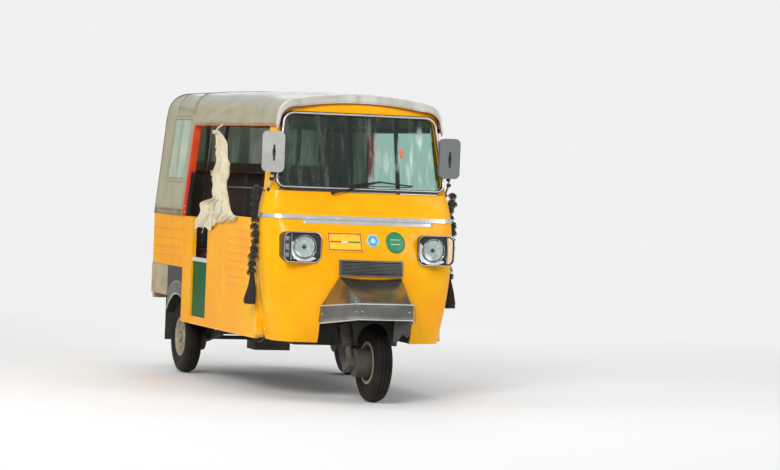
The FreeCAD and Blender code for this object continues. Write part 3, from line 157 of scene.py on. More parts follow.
# Node trees
class Web:
    """Adds nodes to a tree and links them in one call."""

    def __init__(self, tree):
        self.tree = tree

    def add(self, kind, sockets=None, **settings):
        node = self.tree.nodes.new("ShaderNode" + kind)
        for key, value in settings.items():
            setattr(node, key, value)
        for socket, value in (sockets or {}).items():
            if isinstance(value, bpy.types.NodeSocket):
                self.tree.links.new(value, node.inputs[socket])
            else:
                node.inputs[socket].default_value = value
        return node

    def math(self, operation, first, second=0.0, clamp=False):
        return self.add("Math", {0: first, 1: second}, operation=operation, use_clamp=clamp).outputs[0]

    def ramp(self, value, low, high, to_low=0.0, to_high=1.0):
        return self.add("MapRange", {0: value, 1: low, 2: high, 3: to_low, 4: to_high}).outputs[0]

    def mix(self, mask, first, second):
        def rgba(value):
            return value if isinstance(value, bpy.types.NodeSocket) else (*value, 1.0)
        return self.add("Mix", {0: mask, 6: rgba(first), 7: rgba(second)}, data_type="RGBA").outputs[2]

    def noise(self, vector, scale, detail=4.0, rough=0.55):
        return self.add("TexNoise", {"Vector": vector, "Scale": scale, "Detail": detail,
                                     "Roughness": rough}).outputs[0]

    def group(self, name, sockets):
        return self.add("Group", sockets, node_tree=shared(name)).outputs[0]

    def patches(self, name, place, scale, low, high):
        return self.group(name, {"Vector": place, "Scale": scale, "Low": low, "High": high})


def empty_web(owner):
    """The node tree of a material or of the world, emptied."""
    owner.use_nodes = True
    owner.node_tree.nodes.clear()
    return Web(owner.node_tree)


def mottle(web, take):
    """Cloudy patches."""
    patches = web.noise(take["Vector"], take["Scale"], 6.0, 0.6)
    return web.ramp(patches, take["Low"], take["High"])


def dust(web, take):
    """Road dust that thins out upwards and lies in patches."""
    height = web.add("SeparateXYZ", {0: take["Vector"]}).outputs[2]
    rise = web.math("DIVIDE", web.math("SUBTRACT", take["Top"], height), take["Fade"])
    patches = web.noise(take["Vector"], take["Scale"], 7.0, 0.65)
    return web.math("MULTIPLY", web.ramp(rise, 0.0, 1.0), web.ramp(patches, 0.3, 0.75, 0.25, 1.0))


def wear(web, take):
    """Chipped edges, which on the body's yellow paint are pale and also stand for painted highlights
    along edges and rib tops: where the rounded normal leaves the true one.
    """
    turn = web.add("VectorMath", {0: take["Rounded"], 1: web.add("NewGeometry").outputs[1]},
                   operation="DOT_PRODUCT").outputs["Value"]
    edge = web.math("MULTIPLY", web.math("SUBTRACT", 1.0, turn), 14.0, clamp=True)
    chips = web.ramp(web.noise(take["Vector"], take["Scale"], 8.0, 0.7), 0.42, 0.62)
    return web.math("MULTIPLY", edge, chips)


def weave(web, take):
    """Crossed threads along all three axes."""
    parts = web.add("SeparateXYZ", {0: take["Vector"]})
    total = None
    for axis in range(3):
        wave = web.math("SINE", web.math("MULTIPLY", parts.outputs[axis], take["Threads"]))
        total = wave if total is None else web.math("ADD", total, wave)
    return web.ramp(total, -3.0, 3.0)


def grain(web, take):
    """Pebbled surface of leather cloth or moulded plastic."""
    cells = web.add("TexVoronoi", {"Vector": take["Vector"], "Scale": take["Scale"]},
                    feature="SMOOTH_F1").outputs[0]
    fine = web.noise(take["Vector"], web.math("MULTIPLY", take["Scale"], 2.5))
    return web.math("ADD", web.math("MULTIPLY", cells, 0.7), web.math("MULTIPLY", fine, 0.5))


def streaks(web, take):
    """Marks that run down with the rain."""
    stretched = web.add("VectorMath", {0: take["Vector"], 1: (1.0, 1.0, 0.09)}, operation="MULTIPLY")
    lines = web.noise(stretched.outputs[0], take["Scale"], 5.0, 0.6)
    return web.ramp(lines, take["Low"], take["High"])


def brushed(web, take):
    """Fine scratches across the vehicle."""
    stretched = web.add("VectorMath", {0: take["Vector"], 1: (0.08, 1.0, 1.0)}, operation="MULTIPLY")
    return web.noise(stretched.outputs[0], take["Scale"], 3.0, 0.7)


SHARED = {  # group: builder, its inputs
    "Mottle": (mottle, ("Vector", "Scale", "Low", "High")),
    "Dust": (dust, ("Vector", "Top", "Fade", "Scale")),
    "WearAndHighlight": (wear, ("Rounded", "Vector", "Scale")),
    "Weave": (weave, ("Vector", "Threads")),
    "Grain": (grain, ("Vector", "Scale")),
    "Streaks": (streaks, ("Vector", "Scale", "Low", "High")),
    "Brushed": (brushed, ("Vector", "Scale")),
}


def shared(name):
    """The shader group of that name, built the first time it is asked for."""
    tree = bpy.data.node_groups.get(name)
    if tree is None:
        build, inputs = SHARED[name]
        tree = bpy.data.node_groups.new(name, "ShaderNodeTree")
        for socket in inputs:
            kind = "NodeSocketVector" if socket in ("Vector", "Rounded") else "NodeSocketFloat"
            tree.interface.new_socket(socket, in_out="INPUT", socket_type=kind)
        tree.interface.new_socket("Mask", in_out="OUTPUT", socket_type="NodeSocketFloat")
        entry = tree.nodes.new("NodeGroupInput")
        result = build(Web(tree), entry.outputs)
        tree.links.new(result, tree.nodes.new("NodeGroupOutput").inputs[0])
    return tree


# Finishes. base and tint are the two colours that the mottle mixes, as 8-bit display
# values or as a user's linear colour; mottle is scale, low, high, or the scale alone;
# rough its two roughnesses; relief is kind, scale, height in metres; dust is colour,
# top, fade, amount; streak is colour, scale, low, high, amount; wear is colour,
# chip scale, amount, for chipped edges and, on the body's paint, painted highlights along them;
# round is the edge radius in metres.
PALE_DUST = srgb(176, 160, 132)
GREY_DUST = srgb(130, 124, 112)
WARM_DUST = srgb(222, 150, 40)
RUST = srgb(96, 52, 26)
ENAMEL = ("Brushed", 90.0, 0.0001)
RAIN_SHADE = 0.82            # share of the paint's colour that is left where rain runs down it
# The pleat shade attribute is painted shade: it darkens the curtain's colour down between the pleats.
PLEAT_SHADE = "valley"            # attribute: how far down between the pleats a point lies


def blend(base, tint, mottle, rough, relief, **more):
    """A row of the table of finishes, whose two tones the mottle blends."""
    base, tint = (srgb(*tone) if isinstance(tone[0], int) else tone for tone in (base, tint))
    mottle = mottle if isinstance(mottle, tuple) else (mottle, 0.4, 0.7)
    return dict(base=base, tint=tint, mottle=mottle, rough=rough, relief=relief, **more)


def finishes():
    """The table of finishes, with the colours that the user picked."""
    paint = bpy.context.scene.rickshaw_paint
    body = tuple(paint.body)
    deep = tuple(c * RAIN_SHADE for c in body)
    return {
        # On body_paint and quarter_paint the pale edge colour is chipped paint and also painted highlight
        # along edges and rib tops
        "body_paint": blend(body, (255, 192, 4), (2.2, 0.42, 0.72), (0.34, 0.46),
            ("Brushed", 90.0, 0.00015), coat=0.22, ior=1.2, dust=(WARM_DUST, 0.60, 0.45, 0.2),
            wear=(srgb(244, 236, 200), 60.0, 0.8), streak=(deep, 14.0, 0.58, 0.75, 0.35), round=0.004),
        "quarter_paint": blend((255, 168, 4), (252, 184, 30), 5.0, (0.36, 0.52),
            ("Brushed", 90.0, 0.0002), coat=0.08, ior=1.2, dust=(WARM_DUST, 0.8, 0.5, 0.25),
            wear=(srgb(246, 226, 160), 40.0, 1.0), streak=(deep, 18.0, 0.5, 0.7, 0.5), round=0.004),
        "red_paint": blend(tuple(paint.strip), (236, 84, 24), 9.0, (0.35, 0.5),
            ("Brushed", 120.0, 0.0002), coat=0.3, wear=(srgb(90, 30, 14), 50.0, 0.8), round=0.002),
        "green_paint": blend(tuple(paint.plate), (6, 104, 56), (5.0, 0.4, 0.75), (0.32, 0.5),
            ("Brushed", 80.0, 0.0002), ior=1.2, dust=(PALE_DUST, 0.62, 0.3, 0.2),
            wear=(RUST, 45.0, 0.8), round=0.002),
        "dark_metal": blend((32, 33, 31), (48, 46, 41), 9.0, (0.4, 0.62), ("Grain", 180.0, 0.0002),
            metal=0.3, dust=(GREY_DUST, 0.6, 0.35, 0.55), wear=(RUST, 70.0, 0.7), round=0.002),
        "bright_trim": blend((224, 227, 226), (204, 207, 206), 12.0, (0.22, 0.28),
            ("Brushed", 160.0, 0.00002), metal=0.75, dust=(GREY_DUST, 1.3, 1.2, 0.1), round=0.0015),
        "rail_paint": blend((226, 226, 214), (196, 194, 178), 12.0, (0.3, 0.5),
            ("Brushed", 160.0, 0.0002), metal=0.2, dust=(GREY_DUST, 0.9, 0.5, 0.35),
            wear=(RUST, 60.0, 0.8), round=0.003),
        "worn_steel": blend((158, 157, 152), (112, 111, 107), (6.0, 0.35, 0.7), (0.16, 0.3),
            ("Brushed", 110.0, 0.0001), metal=0.95, dust=(PALE_DUST, 0.62, 0.3, 0.12),
            wear=(srgb(208, 204, 194), 35.0, 0.25), streak=(srgb(70, 68, 64), 16.0, 0.52, 0.74, 0.3),
            round=0.003),
        "bright_steel": blend((214, 211, 202), (170, 165, 152), 10.0, (0.22, 0.42),
            ("Brushed", 130.0, 0.0002), metal=0.8, dust=(PALE_DUST, 0.75, 0.3, 0.3),
            wear=(srgb(120, 108, 90), 50.0, 0.7), round=0.002),
        "chrome": blend((226, 228, 228), (200, 203, 204), (20.0, 0.45, 0.7), (0.07, 0.2),
            ("Grain", 60.0, 0.00005), metal=1.0, round=0.001),
        "reflector": blend((232, 235, 234), (206, 211, 212), 30.0, (0.24, 0.36),
            ("Grain", 90.0, 0.0001), metal=0.45),
        "louvre_steel": blend((112, 114, 113), (84, 85, 83), 9.0, (0.3, 0.45), ("Grain", 180.0, 0.0001),
            metal=0.6, dust=(GREY_DUST, 1.1, 0.5, 0.25), round=0.001),
        "chalky_paint": blend((192, 182, 150), (160, 149, 120), (7.0, 0.35, 0.7), (0.6, 0.8),
            ("Grain", 120.0, 0.0003), dust=(PALE_DUST, 0.75, 0.3, 0.5), wear=(RUST, 40.0, 0.9),
            streak=(srgb(140, 128, 104), 20.0, 0.5, 0.7, 0.5), round=0.003),
        "fender_paint": blend((30, 30, 27), (46, 45, 40), 9.0, (0.25, 0.45), ("Grain", 90.0, 0.0003),
            metal=0.1, coat=0.1, dust=(GREY_DUST, 0.65, 0.4, 0.25),
            wear=(srgb(150, 146, 134), 50.0, 0.6), round=0.002),
        "lamp_black": blend((24, 25, 25), (40, 40, 38), 14.0, (0.25, 0.42), ("Grain", 240.0, 0.0001),
            dust=(GREY_DUST, 1.2, 0.6, 0.2), round=0.002),
        "seal_rubber": blend((20, 21, 21), (44, 43, 40), (18.0, 0.45, 0.7), (0.38, 0.6),
            ("Grain", 260.0, 0.0001), dust=(GREY_DUST, 1.9, 1.6, 0.2), round=0.003),
        "moulded_black": blend((26, 26, 27), (46, 45, 43), 11.0, (0.45, 0.65), ("Grain", 320.0, 0.0002),
            dust=(GREY_DUST, 1.6, 1.4, 0.25), round=0.003),
        "tyre_rubber": blend((9, 9, 8), (24, 22, 19), 13.0, (0.55, 0.8), ("Grain", 150.0, 0.0005),
            ior=1.25, dust=(PALE_DUST, 0.40, 0.5, 0.10)),
        "rim_silver": blend((176, 170, 152), (132, 124, 104), (9.0, 0.35, 0.7), (0.4, 0.6),
            ("Grain", 120.0, 0.0002), metal=0.45, dust=(PALE_DUST, 0.5, 0.5, 0.6),
            wear=(RUST, 60.0, 0.8), round=0.002),
        "cast_iron": blend((74, 72, 68), (50, 46, 40), (8.0, 0.35, 0.7), (0.55, 0.8),
            ("Grain", 130.0, 0.0008), metal=0.5, dust=(PALE_DUST, 0.75, 0.6, 0.5),
            wear=(RUST, 30.0, 0.8), round=0.006),
        # mirror_shell: the darker tone on the vehicle's left, far mirror is painted shade
        "mirror_shell": blend((186, 186, 183), (166, 167, 164), 9.0, (0.38, 0.55),
            ("Grain", 300.0, 0.00015), beyond=srgb(112, 116, 117), dust=(GREY_DUST, 1.7, 0.8, 0.25),
            round=0.004),
        "mirror_glass": blend((206, 212, 214), (190, 197, 199), (8.0, 0.5, 0.8), (0.03, 0.08),
            ("Grain", 8.0, 0.00002), metal=1.0),
        "hood_cloth": blend(tuple(paint.cloth), (152, 146, 112), (3.2, 0.38, 0.72), (0.5, 0.72),
            ("Weave", 2600.0, 0.00025), sheen=0.25, streak=(srgb(128, 120, 90), 7.0, 0.5, 0.72, 0.5),
            dust=(srgb(150, 138, 104), 1.25, 0.22, 0.5), crown=tuple(paint.crown), creases=0.003),
        "hem_cloth": blend((140, 128, 84), (112, 100, 62), (8.0, 0.38, 0.7), (0.6, 0.8),
            ("Weave", 2200.0, 0.0003), sheen=0.2),
        "pale_hem": blend((226, 226, 220), (196, 194, 184), 9.0, (0.5, 0.7), ("Weave", 2200.0, 0.0002),
            sheen=0.2),
        "wrap_cloth": blend((206, 206, 200), (176, 172, 158), 6.0, (0.5, 0.7),
            ("Weave", 2400.0, 0.0002), sheen=0.2, streak=(srgb(150, 140, 128), 12.0, 0.5, 0.72, 0.5),
            creases=0.002),
        "dark_piping": blend((150, 58, 14), (110, 40, 12), 24.0, (0.45, 0.65),
            ("Weave", 2400.0, 0.0002)),
        "orange_piping": blend((226, 92, 26), (190, 64, 20), 24.0, (0.45, 0.65),
            ("Weave", 2400.0, 0.0002)),
        "thread": blend((92, 84, 60), (128, 118, 88), 60.0, (0.7, 0.85), ("Weave", 5200.0, 0.0001)),
        "seat_vinyl": blend((46, 34, 30), (70, 52, 44), 6.0, (0.36, 0.56), ("Grain", 420.0, 0.0003),
            sheen=0.1),
        "seat_piping": blend((150, 40, 30), (118, 32, 26), 20.0, (0.4, 0.6), ("Grain", 420.0, 0.0002)),
        # curtain_cloth: the dark olive colour mixed in down between the pleats is painted shade
        "curtain_cloth": blend(tuple(paint.curtain), (206, 194, 160), (11.0, 0.36, 0.7), (0.7, 0.88),
            ("Weave", 3600.0, 0.0003), sheen=0.3, streak=(srgb(190, 182, 164), 26.0, 0.5, 0.7, 0.25),
            valley=srgb(62, 54, 32), creases=0.0015),
        "black_yarn": blend((16, 15, 15), (40, 34, 30), 34.0, (0.75, 0.95), ("Weave", 6000.0, 0.0002),
            sheen=0.4),
        "plate_enamel": blend((252, 190, 20), (250, 206, 60), 16.0, (0.3, 0.45), ENAMEL, coat=0.3,
            round=0.001),
        "border_red": blend((214, 70, 24), (196, 52, 20), 30.0, (0.35, 0.5), ENAMEL),
        "badge_pale": blend((150, 206, 226), (196, 226, 232), 20.0, (0.3, 0.45), ENAMEL),
        "badge_blue": blend((70, 158, 190), (96, 178, 204), 20.0, (0.3, 0.45), ENAMEL),
        "badge_green": blend((14, 128, 74), (30, 146, 92), 20.0, (0.3, 0.45), ENAMEL),
        "line_white": blend((240, 242, 238), (220, 224, 216), 20.0, (0.35, 0.5), ENAMEL),
        "sticker_orange": blend((224, 104, 62), (236, 128, 84), 30.0, (0.4, 0.55), ENAMEL),
        "dial_white": blend((232, 232, 226), (214, 214, 206), 20.0, (0.3, 0.4),
            ("Grain", 60.0, 0.00005)),
        "tail_red": blend((176, 14, 10), (150, 10, 8), 20.0, (0.12, 0.25), ("Weave", 900.0, 0.0004),
            coat=0.8),
        "amber": blend((232, 130, 30), (214, 110, 20), 20.0, (0.12, 0.25), ("Weave", 900.0, 0.0004),
            coat=0.8),
        "screen_glass": dict(glass=srgb(150, 190, 178), film=(0.72, 0.90, 0.84),
            haze=(22.0, 0.50, 0.62), rough=(0.02, 0.3)),
        "lamp_glass": dict(glass=srgb(238, 244, 244), haze=(40.0, 0.5, 0.8), rough=(0.02, 0.12),
            relief=("Weave", 700.0, 0.0006)),
        "turn_clear": dict(glass=srgb(240, 242, 238), haze=(40.0, 0.5, 0.8), rough=(0.02, 0.1),
            relief=("Weave", 800.0, 0.0002)),
        "turn_milky": blend((238, 214, 176), (226, 190, 140), 40.0, (0.15, 0.3),
            ("Weave", 900.0, 0.0003), coat=0.4),
        "hazy_film": blend((214, 220, 196), (150, 186, 168), (3.0, 0.35, 0.7), (0.25, 0.5),
            ("Grain", 14.0, 0.002), film=True),
    }


SLOT_FINISH = {  # record slots whose finish has another name
    "body_yellow": "body_paint", "trim_metal": "bright_trim", "glass": "screen_glass",
    "dash_plastic": "moulded_black", "lamp_bezel": "lamp_black", "lamp_red": "tail_red",
    "canvas": "hood_cloth", "clear_sheet": "hazy_film", "seat_cover": "seat_vinyl",
    "engine_iron": "cast_iron",
}
OWN_FINISH = {  # CAD nodes whose finish isn't their slot's
    "rear_quarter_right": "quarter_paint", "rear_quarter_left": "quarter_paint",
    "guard_rails": "rail_paint", "rear_bumper": "chalky_paint", "rear_fenders": "fender_paint",
    "mud_flaps": "moulded_black", "grille": "louvre_steel",
}


def finish(name):
    """The material of that name, built the first time it is asked for."""
    made = bpy.data.materials.get("finish_" + name)
    if made is None:
        made = bpy.data.materials.new("finish_" + name)
        web, row = empty_web(made), finishes()[name]
        shader = glass_shader(web, row) if "glass" in row else solid_shader(web, row)
        made.node_tree.links.new(shader, web.add("OutputMaterial").inputs[0])
    return made


# Values that the finishes share
COAT_ROUGH, SHEEN_ROUGH = 0.12, 0.5
WORN_ROUGH, DUSTY_ROUGH, DUSTY_METAL = 0.25, 0.4, 0.1
DUST_SCALE, CREASE_SCALE = 7.0, 7.0
CROWN_TURN = (0.05, 0.75)    # rise of the normal over which the side's cloth turns into the crown's
# MIDDLE is where the painted shade on the vehicle's left side starts
MIDDLE = (-0.1, 0.1)         # across, where a piece's right tone turns into its left one
FILM_STREAKS, FILM_ALPHA = (9.0, 0.38, 0.68), (0.9, 0.5)
STALE_FILM = 0.9             # share of the glass's colour that is left under dried streaks


def relief(web, row, place, smooth_normal=None):
    """Bump of the row's grain on top of the rounded edges."""
    kind, scale, height = row["relief"]
    socket = "Threads" if kind == "Weave" else "Scale"
    texture = web.group(kind, {"Vector": place, socket: scale})
    if "creases" in row:
        fold = web.noise(place, CREASE_SCALE, 3.0, 0.5)
        bumped = web.add("Bump", {"Strength": 1.0, "Distance": row["creases"], "Height": fold})
        smooth_normal = bumped.outputs[0]
    sockets = {"Strength": 1.0, "Distance": height, "Height": texture}
    if smooth_normal is not None:
        sockets["Normal"] = smooth_normal
    return web.add("Bump", sockets).outputs[0]


def glass_shader(web, row):
    """Clear glass with dried streaks on it."""
    place = web.add("TexCoord").outputs["Object"]
    haze = web.patches("Streaks", place, *row["haze"])
    shader = web.add("BsdfPrincipled", {"IOR": 1.45, "Transmission Weight": 1.0, "Metallic": 0.0,
                                        "Coat Weight": 0.0})
    link = web.tree.links.new
    stale = row.get("film", tuple(STALE_FILM * c for c in row["glass"]))
    tint = web.mix(haze, row["glass"], stale)
    link(tint, shader.inputs["Base Color"])
    link(web.ramp(haze, 0.0, 1.0, *row["rough"]), shader.inputs["Roughness"])
    if "relief" in row:
        link(relief(web, row, place), shader.inputs["Normal"])
    return shader.outputs[0]


def solid_shader(web, row):
    """Paint, metal, rubber, plastic or cloth from a row of the table."""
    link = web.tree.links.new
    place = web.add("TexCoord").outputs["Object"]
    metal = row.get("metal", 0.0)
    cloud = web.patches("Mottle", place, *row["mottle"])
    tone = web.mix(cloud, row["base"], row["tint"])
    rough = web.ramp(cloud, 0.0, 1.0, *row["rough"])
    if "crown" in row:
        up = web.add("SeparateXYZ", {0: web.add("NewGeometry").outputs["Normal"]}).outputs[2]
        tone = web.mix(web.ramp(up, *CROWN_TURN), tone, row["crown"])
    # Painted shade: darkens the colour down between the pleats, by the attribute that the curtain carries
    if "valley" in row:
        depth = web.add("Attribute", attribute_name=PLEAT_SHADE).outputs["Fac"]
        tone = web.mix(depth, tone, row["valley"])
    # Painted shade: a darker tone on the vehicle's left side, for the far mirror
    if "beyond" in row:
        left = web.add("SeparateXYZ", {0: place}).outputs[0]
        tone = web.mix(web.ramp(left, *MIDDLE), tone, row["beyond"])
    if "streak" in row:
        tint, scale, low, high, amount = row["streak"]
        mask = web.patches("Streaks", place, scale, low, high)
        tone = web.mix(web.math("MULTIPLY", mask, amount), tone, tint)
    rounded = None
    if "round" in row:
        rounded = web.add("Bevel", {"Radius": row["round"]}, samples=4).outputs[0]
    shader = web.add("BsdfPrincipled", {
        "Metallic": metal, "IOR": row.get("ior", 1.5), "Coat Weight": row.get("coat", 0.0),
        "Coat Roughness": COAT_ROUGH, "Sheen Weight": row.get("sheen", 0.0),
        "Sheen Roughness": SHEEN_ROUGH})
    # Chipped edges; on the body's paint the pale colour is also a painted highlight along the edges
    if "wear" in row:
        tint, scale, amount = row["wear"]
        mask = web.group("WearAndHighlight", {"Rounded": rounded, "Vector": place, "Scale": scale})
        mask = web.math("MULTIPLY", mask, amount)
        tone = web.mix(mask, tone, tint)
        rough = web.math("ADD", rough, web.math("MULTIPLY", mask, WORN_ROUGH), clamp=True)
    if "dust" in row:
        tint, top, fade, amount = row["dust"]
        mask = web.group("Dust", {"Vector": place, "Top": top, "Fade": fade, "Scale": DUST_SCALE})
        mask = web.math("MULTIPLY", mask, amount)
        tone = web.mix(mask, tone, tint)
        rough = web.math("ADD", rough, web.math("MULTIPLY", mask, DUSTY_ROUGH), clamp=True)
        if metal > 0:
            link(web.ramp(mask, 0.0, 1.0, metal, DUSTY_METAL), shader.inputs["Metallic"])
    if "film" in row:
        clear = web.patches("Streaks", place, *FILM_STREAKS)
        link(web.ramp(clear, 0.0, 1.0, *FILM_ALPHA), shader.inputs["Alpha"])
    link(tone, shader.inputs["Base Color"])
    link(rough, shader.inputs["Roughness"])
    link(relief(web, row, place, rounded), shader.inputs["Normal"])
    return shader.outputs[0]


# Mesh helpers
SKINS = {}
CLEAR = 2.0                  # a ray that starts this far out is outside of the vehicle
WELD = 0.00001
SIDES = (-1, 1)              # the vehicle's right and its left side


def skin(node):
    """A CAD node's surface, to look up places on it."""
    if node not in SKINS:
        bm = bmesh.new()
        bm.from_mesh(frame["nodes"][node].data)
        SKINS[node] = BVHTree.FromBMesh(bm)
        bm.free()
    return SKINS[node]


def touch(node, start, direction):
    """Where a ray from start first meets a CAD node, with the face's normal."""
    place, normal, _, _ = skin(node).ray_cast(Vector(start), Vector(direction))
    if place is None:
        raise RuntimeError("no surface of %s at %s" % (node, tuple(start)))
    return place, normal


def on_nose(x, z, lift, node="front_cowl"):
    """A point straight ahead of the front of a node."""
    return touch(node, (x, -CLEAR, z), ALONG)[0] - ALONG * lift


def meshed(bm, name):
    """The mesh of a bmesh, which is freed."""
    mesh = bpy.data.meshes.new(name)
    bm.to_mesh(mesh)
    bm.free()
    return mesh


def placed(name, data):
    """A new object in the scene."""
    made = bpy.data.objects.new(name, data)
    bpy.context.scene.collection.objects.link(made)
    return made


def publish(bm, name, slot, *looks, body="body", replaces=(), sharp=35.0, turn=True, wall=0.0,
            offset=-1.0):
    """Makes a finished piece of a bmesh; a sheet's wall is its thickness."""
    if turn:
        bmesh.ops.recalc_face_normals(bm, faces=bm.faces[:])
    limit = math.radians(sharp)
    for face in bm.faces:
        face.smooth = True
    for edge in bm.edges:
        if len(edge.link_faces) == 2 and edge.calc_face_angle() > limit:
            edge.smooth = False
    mesh = meshed(bm, name)
    for look in looks:
        mesh.materials.append(finish(look))
    piece = placed(name, mesh)
    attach(piece, body)
    if replaces:
        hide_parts(*replaces)
    if wall:
        solid = piece.modifiers.new("wall", "SOLIDIFY")
        solid.thickness, solid.offset = wall, offset
    return piece


def soften(piece, width):
    """Rounds a piece's edges."""
    edge = piece.modifiers.new("edge", "BEVEL")
    edge.width, edge.segments, edge.limit_method = width, 2, "ANGLE"


def painted(bm, before, look):
    """Gives the faces made since before the material of that number."""
    bm.faces.ensure_lookup_table()
    for face in bm.faces[before:]:
        face.material_index = look


def lay(bm, across, along, place, look=0):
    """A grid whose points are put at place(u, v), with u and v from 0 to 1."""
    before = len(bm.faces)
    grid = bmesh.ops.create_grid(bm, x_segments=across, y_segments=along, size=0.5)["verts"]
    for vert in grid:
        vert.co = place(vert.co.x + 0.5, vert.co.y + 0.5)
    painted(bm, before, look)
    return grid


def brick(bm, low, high, rounding=0.0, look=0, segments=2, turn=None):
    """A box between two corners, its edges rounded."""
    before = len(bm.faces)
    low, high = Vector(low), Vector(high)
    made = bmesh.ops.create_cube(bm, size=1.0)["verts"]
    bmesh.ops.scale(bm, vec=high - low, verts=made)
    bmesh.ops.translate(bm, vec=(low + high) / 2, verts=made)
    if turn:
        bmesh.ops.transform(bm, matrix=turn, verts=made)
    if rounding:
        edges = list({edge for vert in made for edge in vert.link_edges})
        bmesh.ops.bevel(bm, geom=edges, offset=rounding, segments=segments, affect="EDGES",
                        profile=0.5, material=-1)
    painted(bm, before, look)


def bar(bm, start, end, radius, radius_end=None, segments=12, look=0):
    """A round bar between two points."""
    before = len(bm.faces)
    start, end = Vector(start), Vector(end)
    run = end - start
    matrix = Matrix.Translation((start + end) / 2) @ run.to_track_quat("Z", "Y").to_matrix().to_4x4()
    bmesh.ops.create_cone(bm, cap_ends=True, segments=segments, radius1=radius,
                          radius2=radius if radius_end is None else radius_end, depth=run.length,
                          matrix=matrix)
    painted(bm, before, look)


def bolt(bm, place, outward, radius=0.006, look=0):
    """A washer and a hexagon head that stand on a surface."""
    place, outward = Vector(place), Vector(outward).normalized()
    top = place + outward * radius * 0.35
    bar(bm, place - outward * 0.001, top, radius * 1.5, radius * 1.4, 14, look)
    bar(bm, place, place + outward * radius * 1.1, radius, radius * 0.86, 6, look)


def lathe(bm, profile, centre, axis=(1, 0, 0), steps=48, look=0, closed=False):
    """Spins a profile of (along the axis, radius) round an axis through centre."""
    before = len(bm.faces)
    axis = Vector(axis).normalized()
    out = axis.orthogonal().normalized()
    verts = [bm.verts.new(Vector(centre) + axis * along + out * radius) for along, radius in profile]
    edges = [bm.edges.new(pair) for pair in zip(verts, verts[1:])]
    if closed:
        edges.append(bm.edges.new((verts[-1], verts[0])))
    bmesh.ops.spin(bm, geom=verts + edges, cent=centre, axis=axis, dvec=(0, 0, 0),
                   angle=2 * math.pi, steps=steps, use_merge=True)
    bmesh.ops.remove_doubles(bm, verts=bm.verts[:], dist=WELD)
    painted(bm, before, look)


def new_curve(radius, sides=0, caps=True):
    """A curve with a round section."""
    curve = bpy.data.curves.new("run", "CURVE")
    curve.dimensions, curve.use_fill_caps = "3D", caps
    curve.bevel_depth, curve.bevel_resolution = radius, sides
    return curve


def add_run(curve, points, kind="POLY", thick=1.0):
    """One more run of a curve, through points."""
    spline = curve.splines.new(kind)
    spline.points.add(len(points) - 1)
    for point, place in zip(spline.points, points):
        point.co, point.radius = (*place, 1.0), thick
    return spline


def tube(bm, points, radius, look=0, loop=False, bent=True):
    """A round tube along points, through a curve that is made a mesh."""
    before = len(bm.faces)
    curve = new_curve(radius, 2)
    spline = add_run(curve, points, "NURBS" if bent else "POLY")
    spline.use_cyclic_u = loop
    if bent:
        spline.order_u, spline.resolution_u = 3, 5
        spline.use_endpoint_u = not loop
    absorb(bm, curve)
    painted(bm, before, look)


def absorb(bm, curve):
    """Adds a curve's mesh to a bmesh and drops the curve."""
    holder = bpy.data.objects.new("run", curve)
    mesh = bpy.data.meshes.new_from_object(holder)
    bm.from_mesh(mesh)
    bpy.data.objects.remove(holder)
    bpy.data.curves.remove(curve)
    bpy.data.meshes.remove(mesh)


def spaced(points, pitch):
    """Pairs of points and directions every pitch along a line of points."""
    places, left = [], 0.0
    for start, end in zip(points, points[1:]):
        start, end = Vector(start), Vector(end)
        run = (end - start).length
        while left < run:
            places.append((start.lerp(end, left / run), (end - start).normalized()))
            left += pitch
        left -= run
    return places


def stitches(bm, points, look=0, pitch=0.012, length=0.007, radius=0.0009):
    """Dashes of thread along a line of points."""
    before = len(bm.faces)
    curve = new_curve(radius)
    for place, direction in spaced(points, pitch):
        add_run(curve, (place, place + direction * length))
    absorb(bm, curve)
    painted(bm, before, look)


def rounded_plate(bm, x0, x1, z0, z1, y, radius, look=0):
    """A face in the plane at y whose corners are rounded, turned to the front."""
    before = len(bm.faces)
    verts = [bm.verts.new((x, y, z)) for x, z in ((x0, z0), (x1, z0), (x1, z1), (x0, z1))]
    bm.faces.new(verts)
    bmesh.ops.bevel(bm, geom=verts, offset=radius, segments=8, affect="VERTICES", profile=0.5,
                    material=-1)
    painted(bm, before, look)
    bm.faces.ensure_lookup_table()
    return bm.faces[before:]


def drawn_out(bm, faces, way):
    """Extrudes faces along a vector and keeps the first ones as the floor."""
    made = bmesh.ops.extrude_face_region(bm, geom=faces, use_keep_orig=True)["geom"]
    top = [v for v in made if isinstance(v, bmesh.types.BMVert)]
    bmesh.ops.translate(bm, vec=way, verts=top)
    return [f for f in made if isinstance(f, bmesh.types.BMFace)]


def frame_ring(bm, x0, x1, z0, z1, y, radius, width, depth, look=0):
    """A rounded frame round an opening, standing depth ahead of y."""
    before = len(bm.faces)
    plate = rounded_plate(bm, x0, x1, z0, z1, y, radius)
    inner = bmesh.ops.inset_region(bm, faces=plate, thickness=width, use_boundary=True,
                                   use_even_offset=True)["faces"]
    bmesh.ops.delete(bm, geom=plate, context="FACES_ONLY")
    drawn_out(bm, inner, (0, -depth, 0))
    painted(bm, before, look)
    front = [e for e in bm.edges if len(e.link_faces) == 2 and e.calc_face_angle(0) > 1.2
             and all(abs(v.co.y - y + depth) < WELD for v in e.verts)]
    bmesh.ops.bevel(bm, geom=front, offset=min(width, depth) * 0.35, segments=2, affect="EDGES",
                    profile=0.5, material=-1)


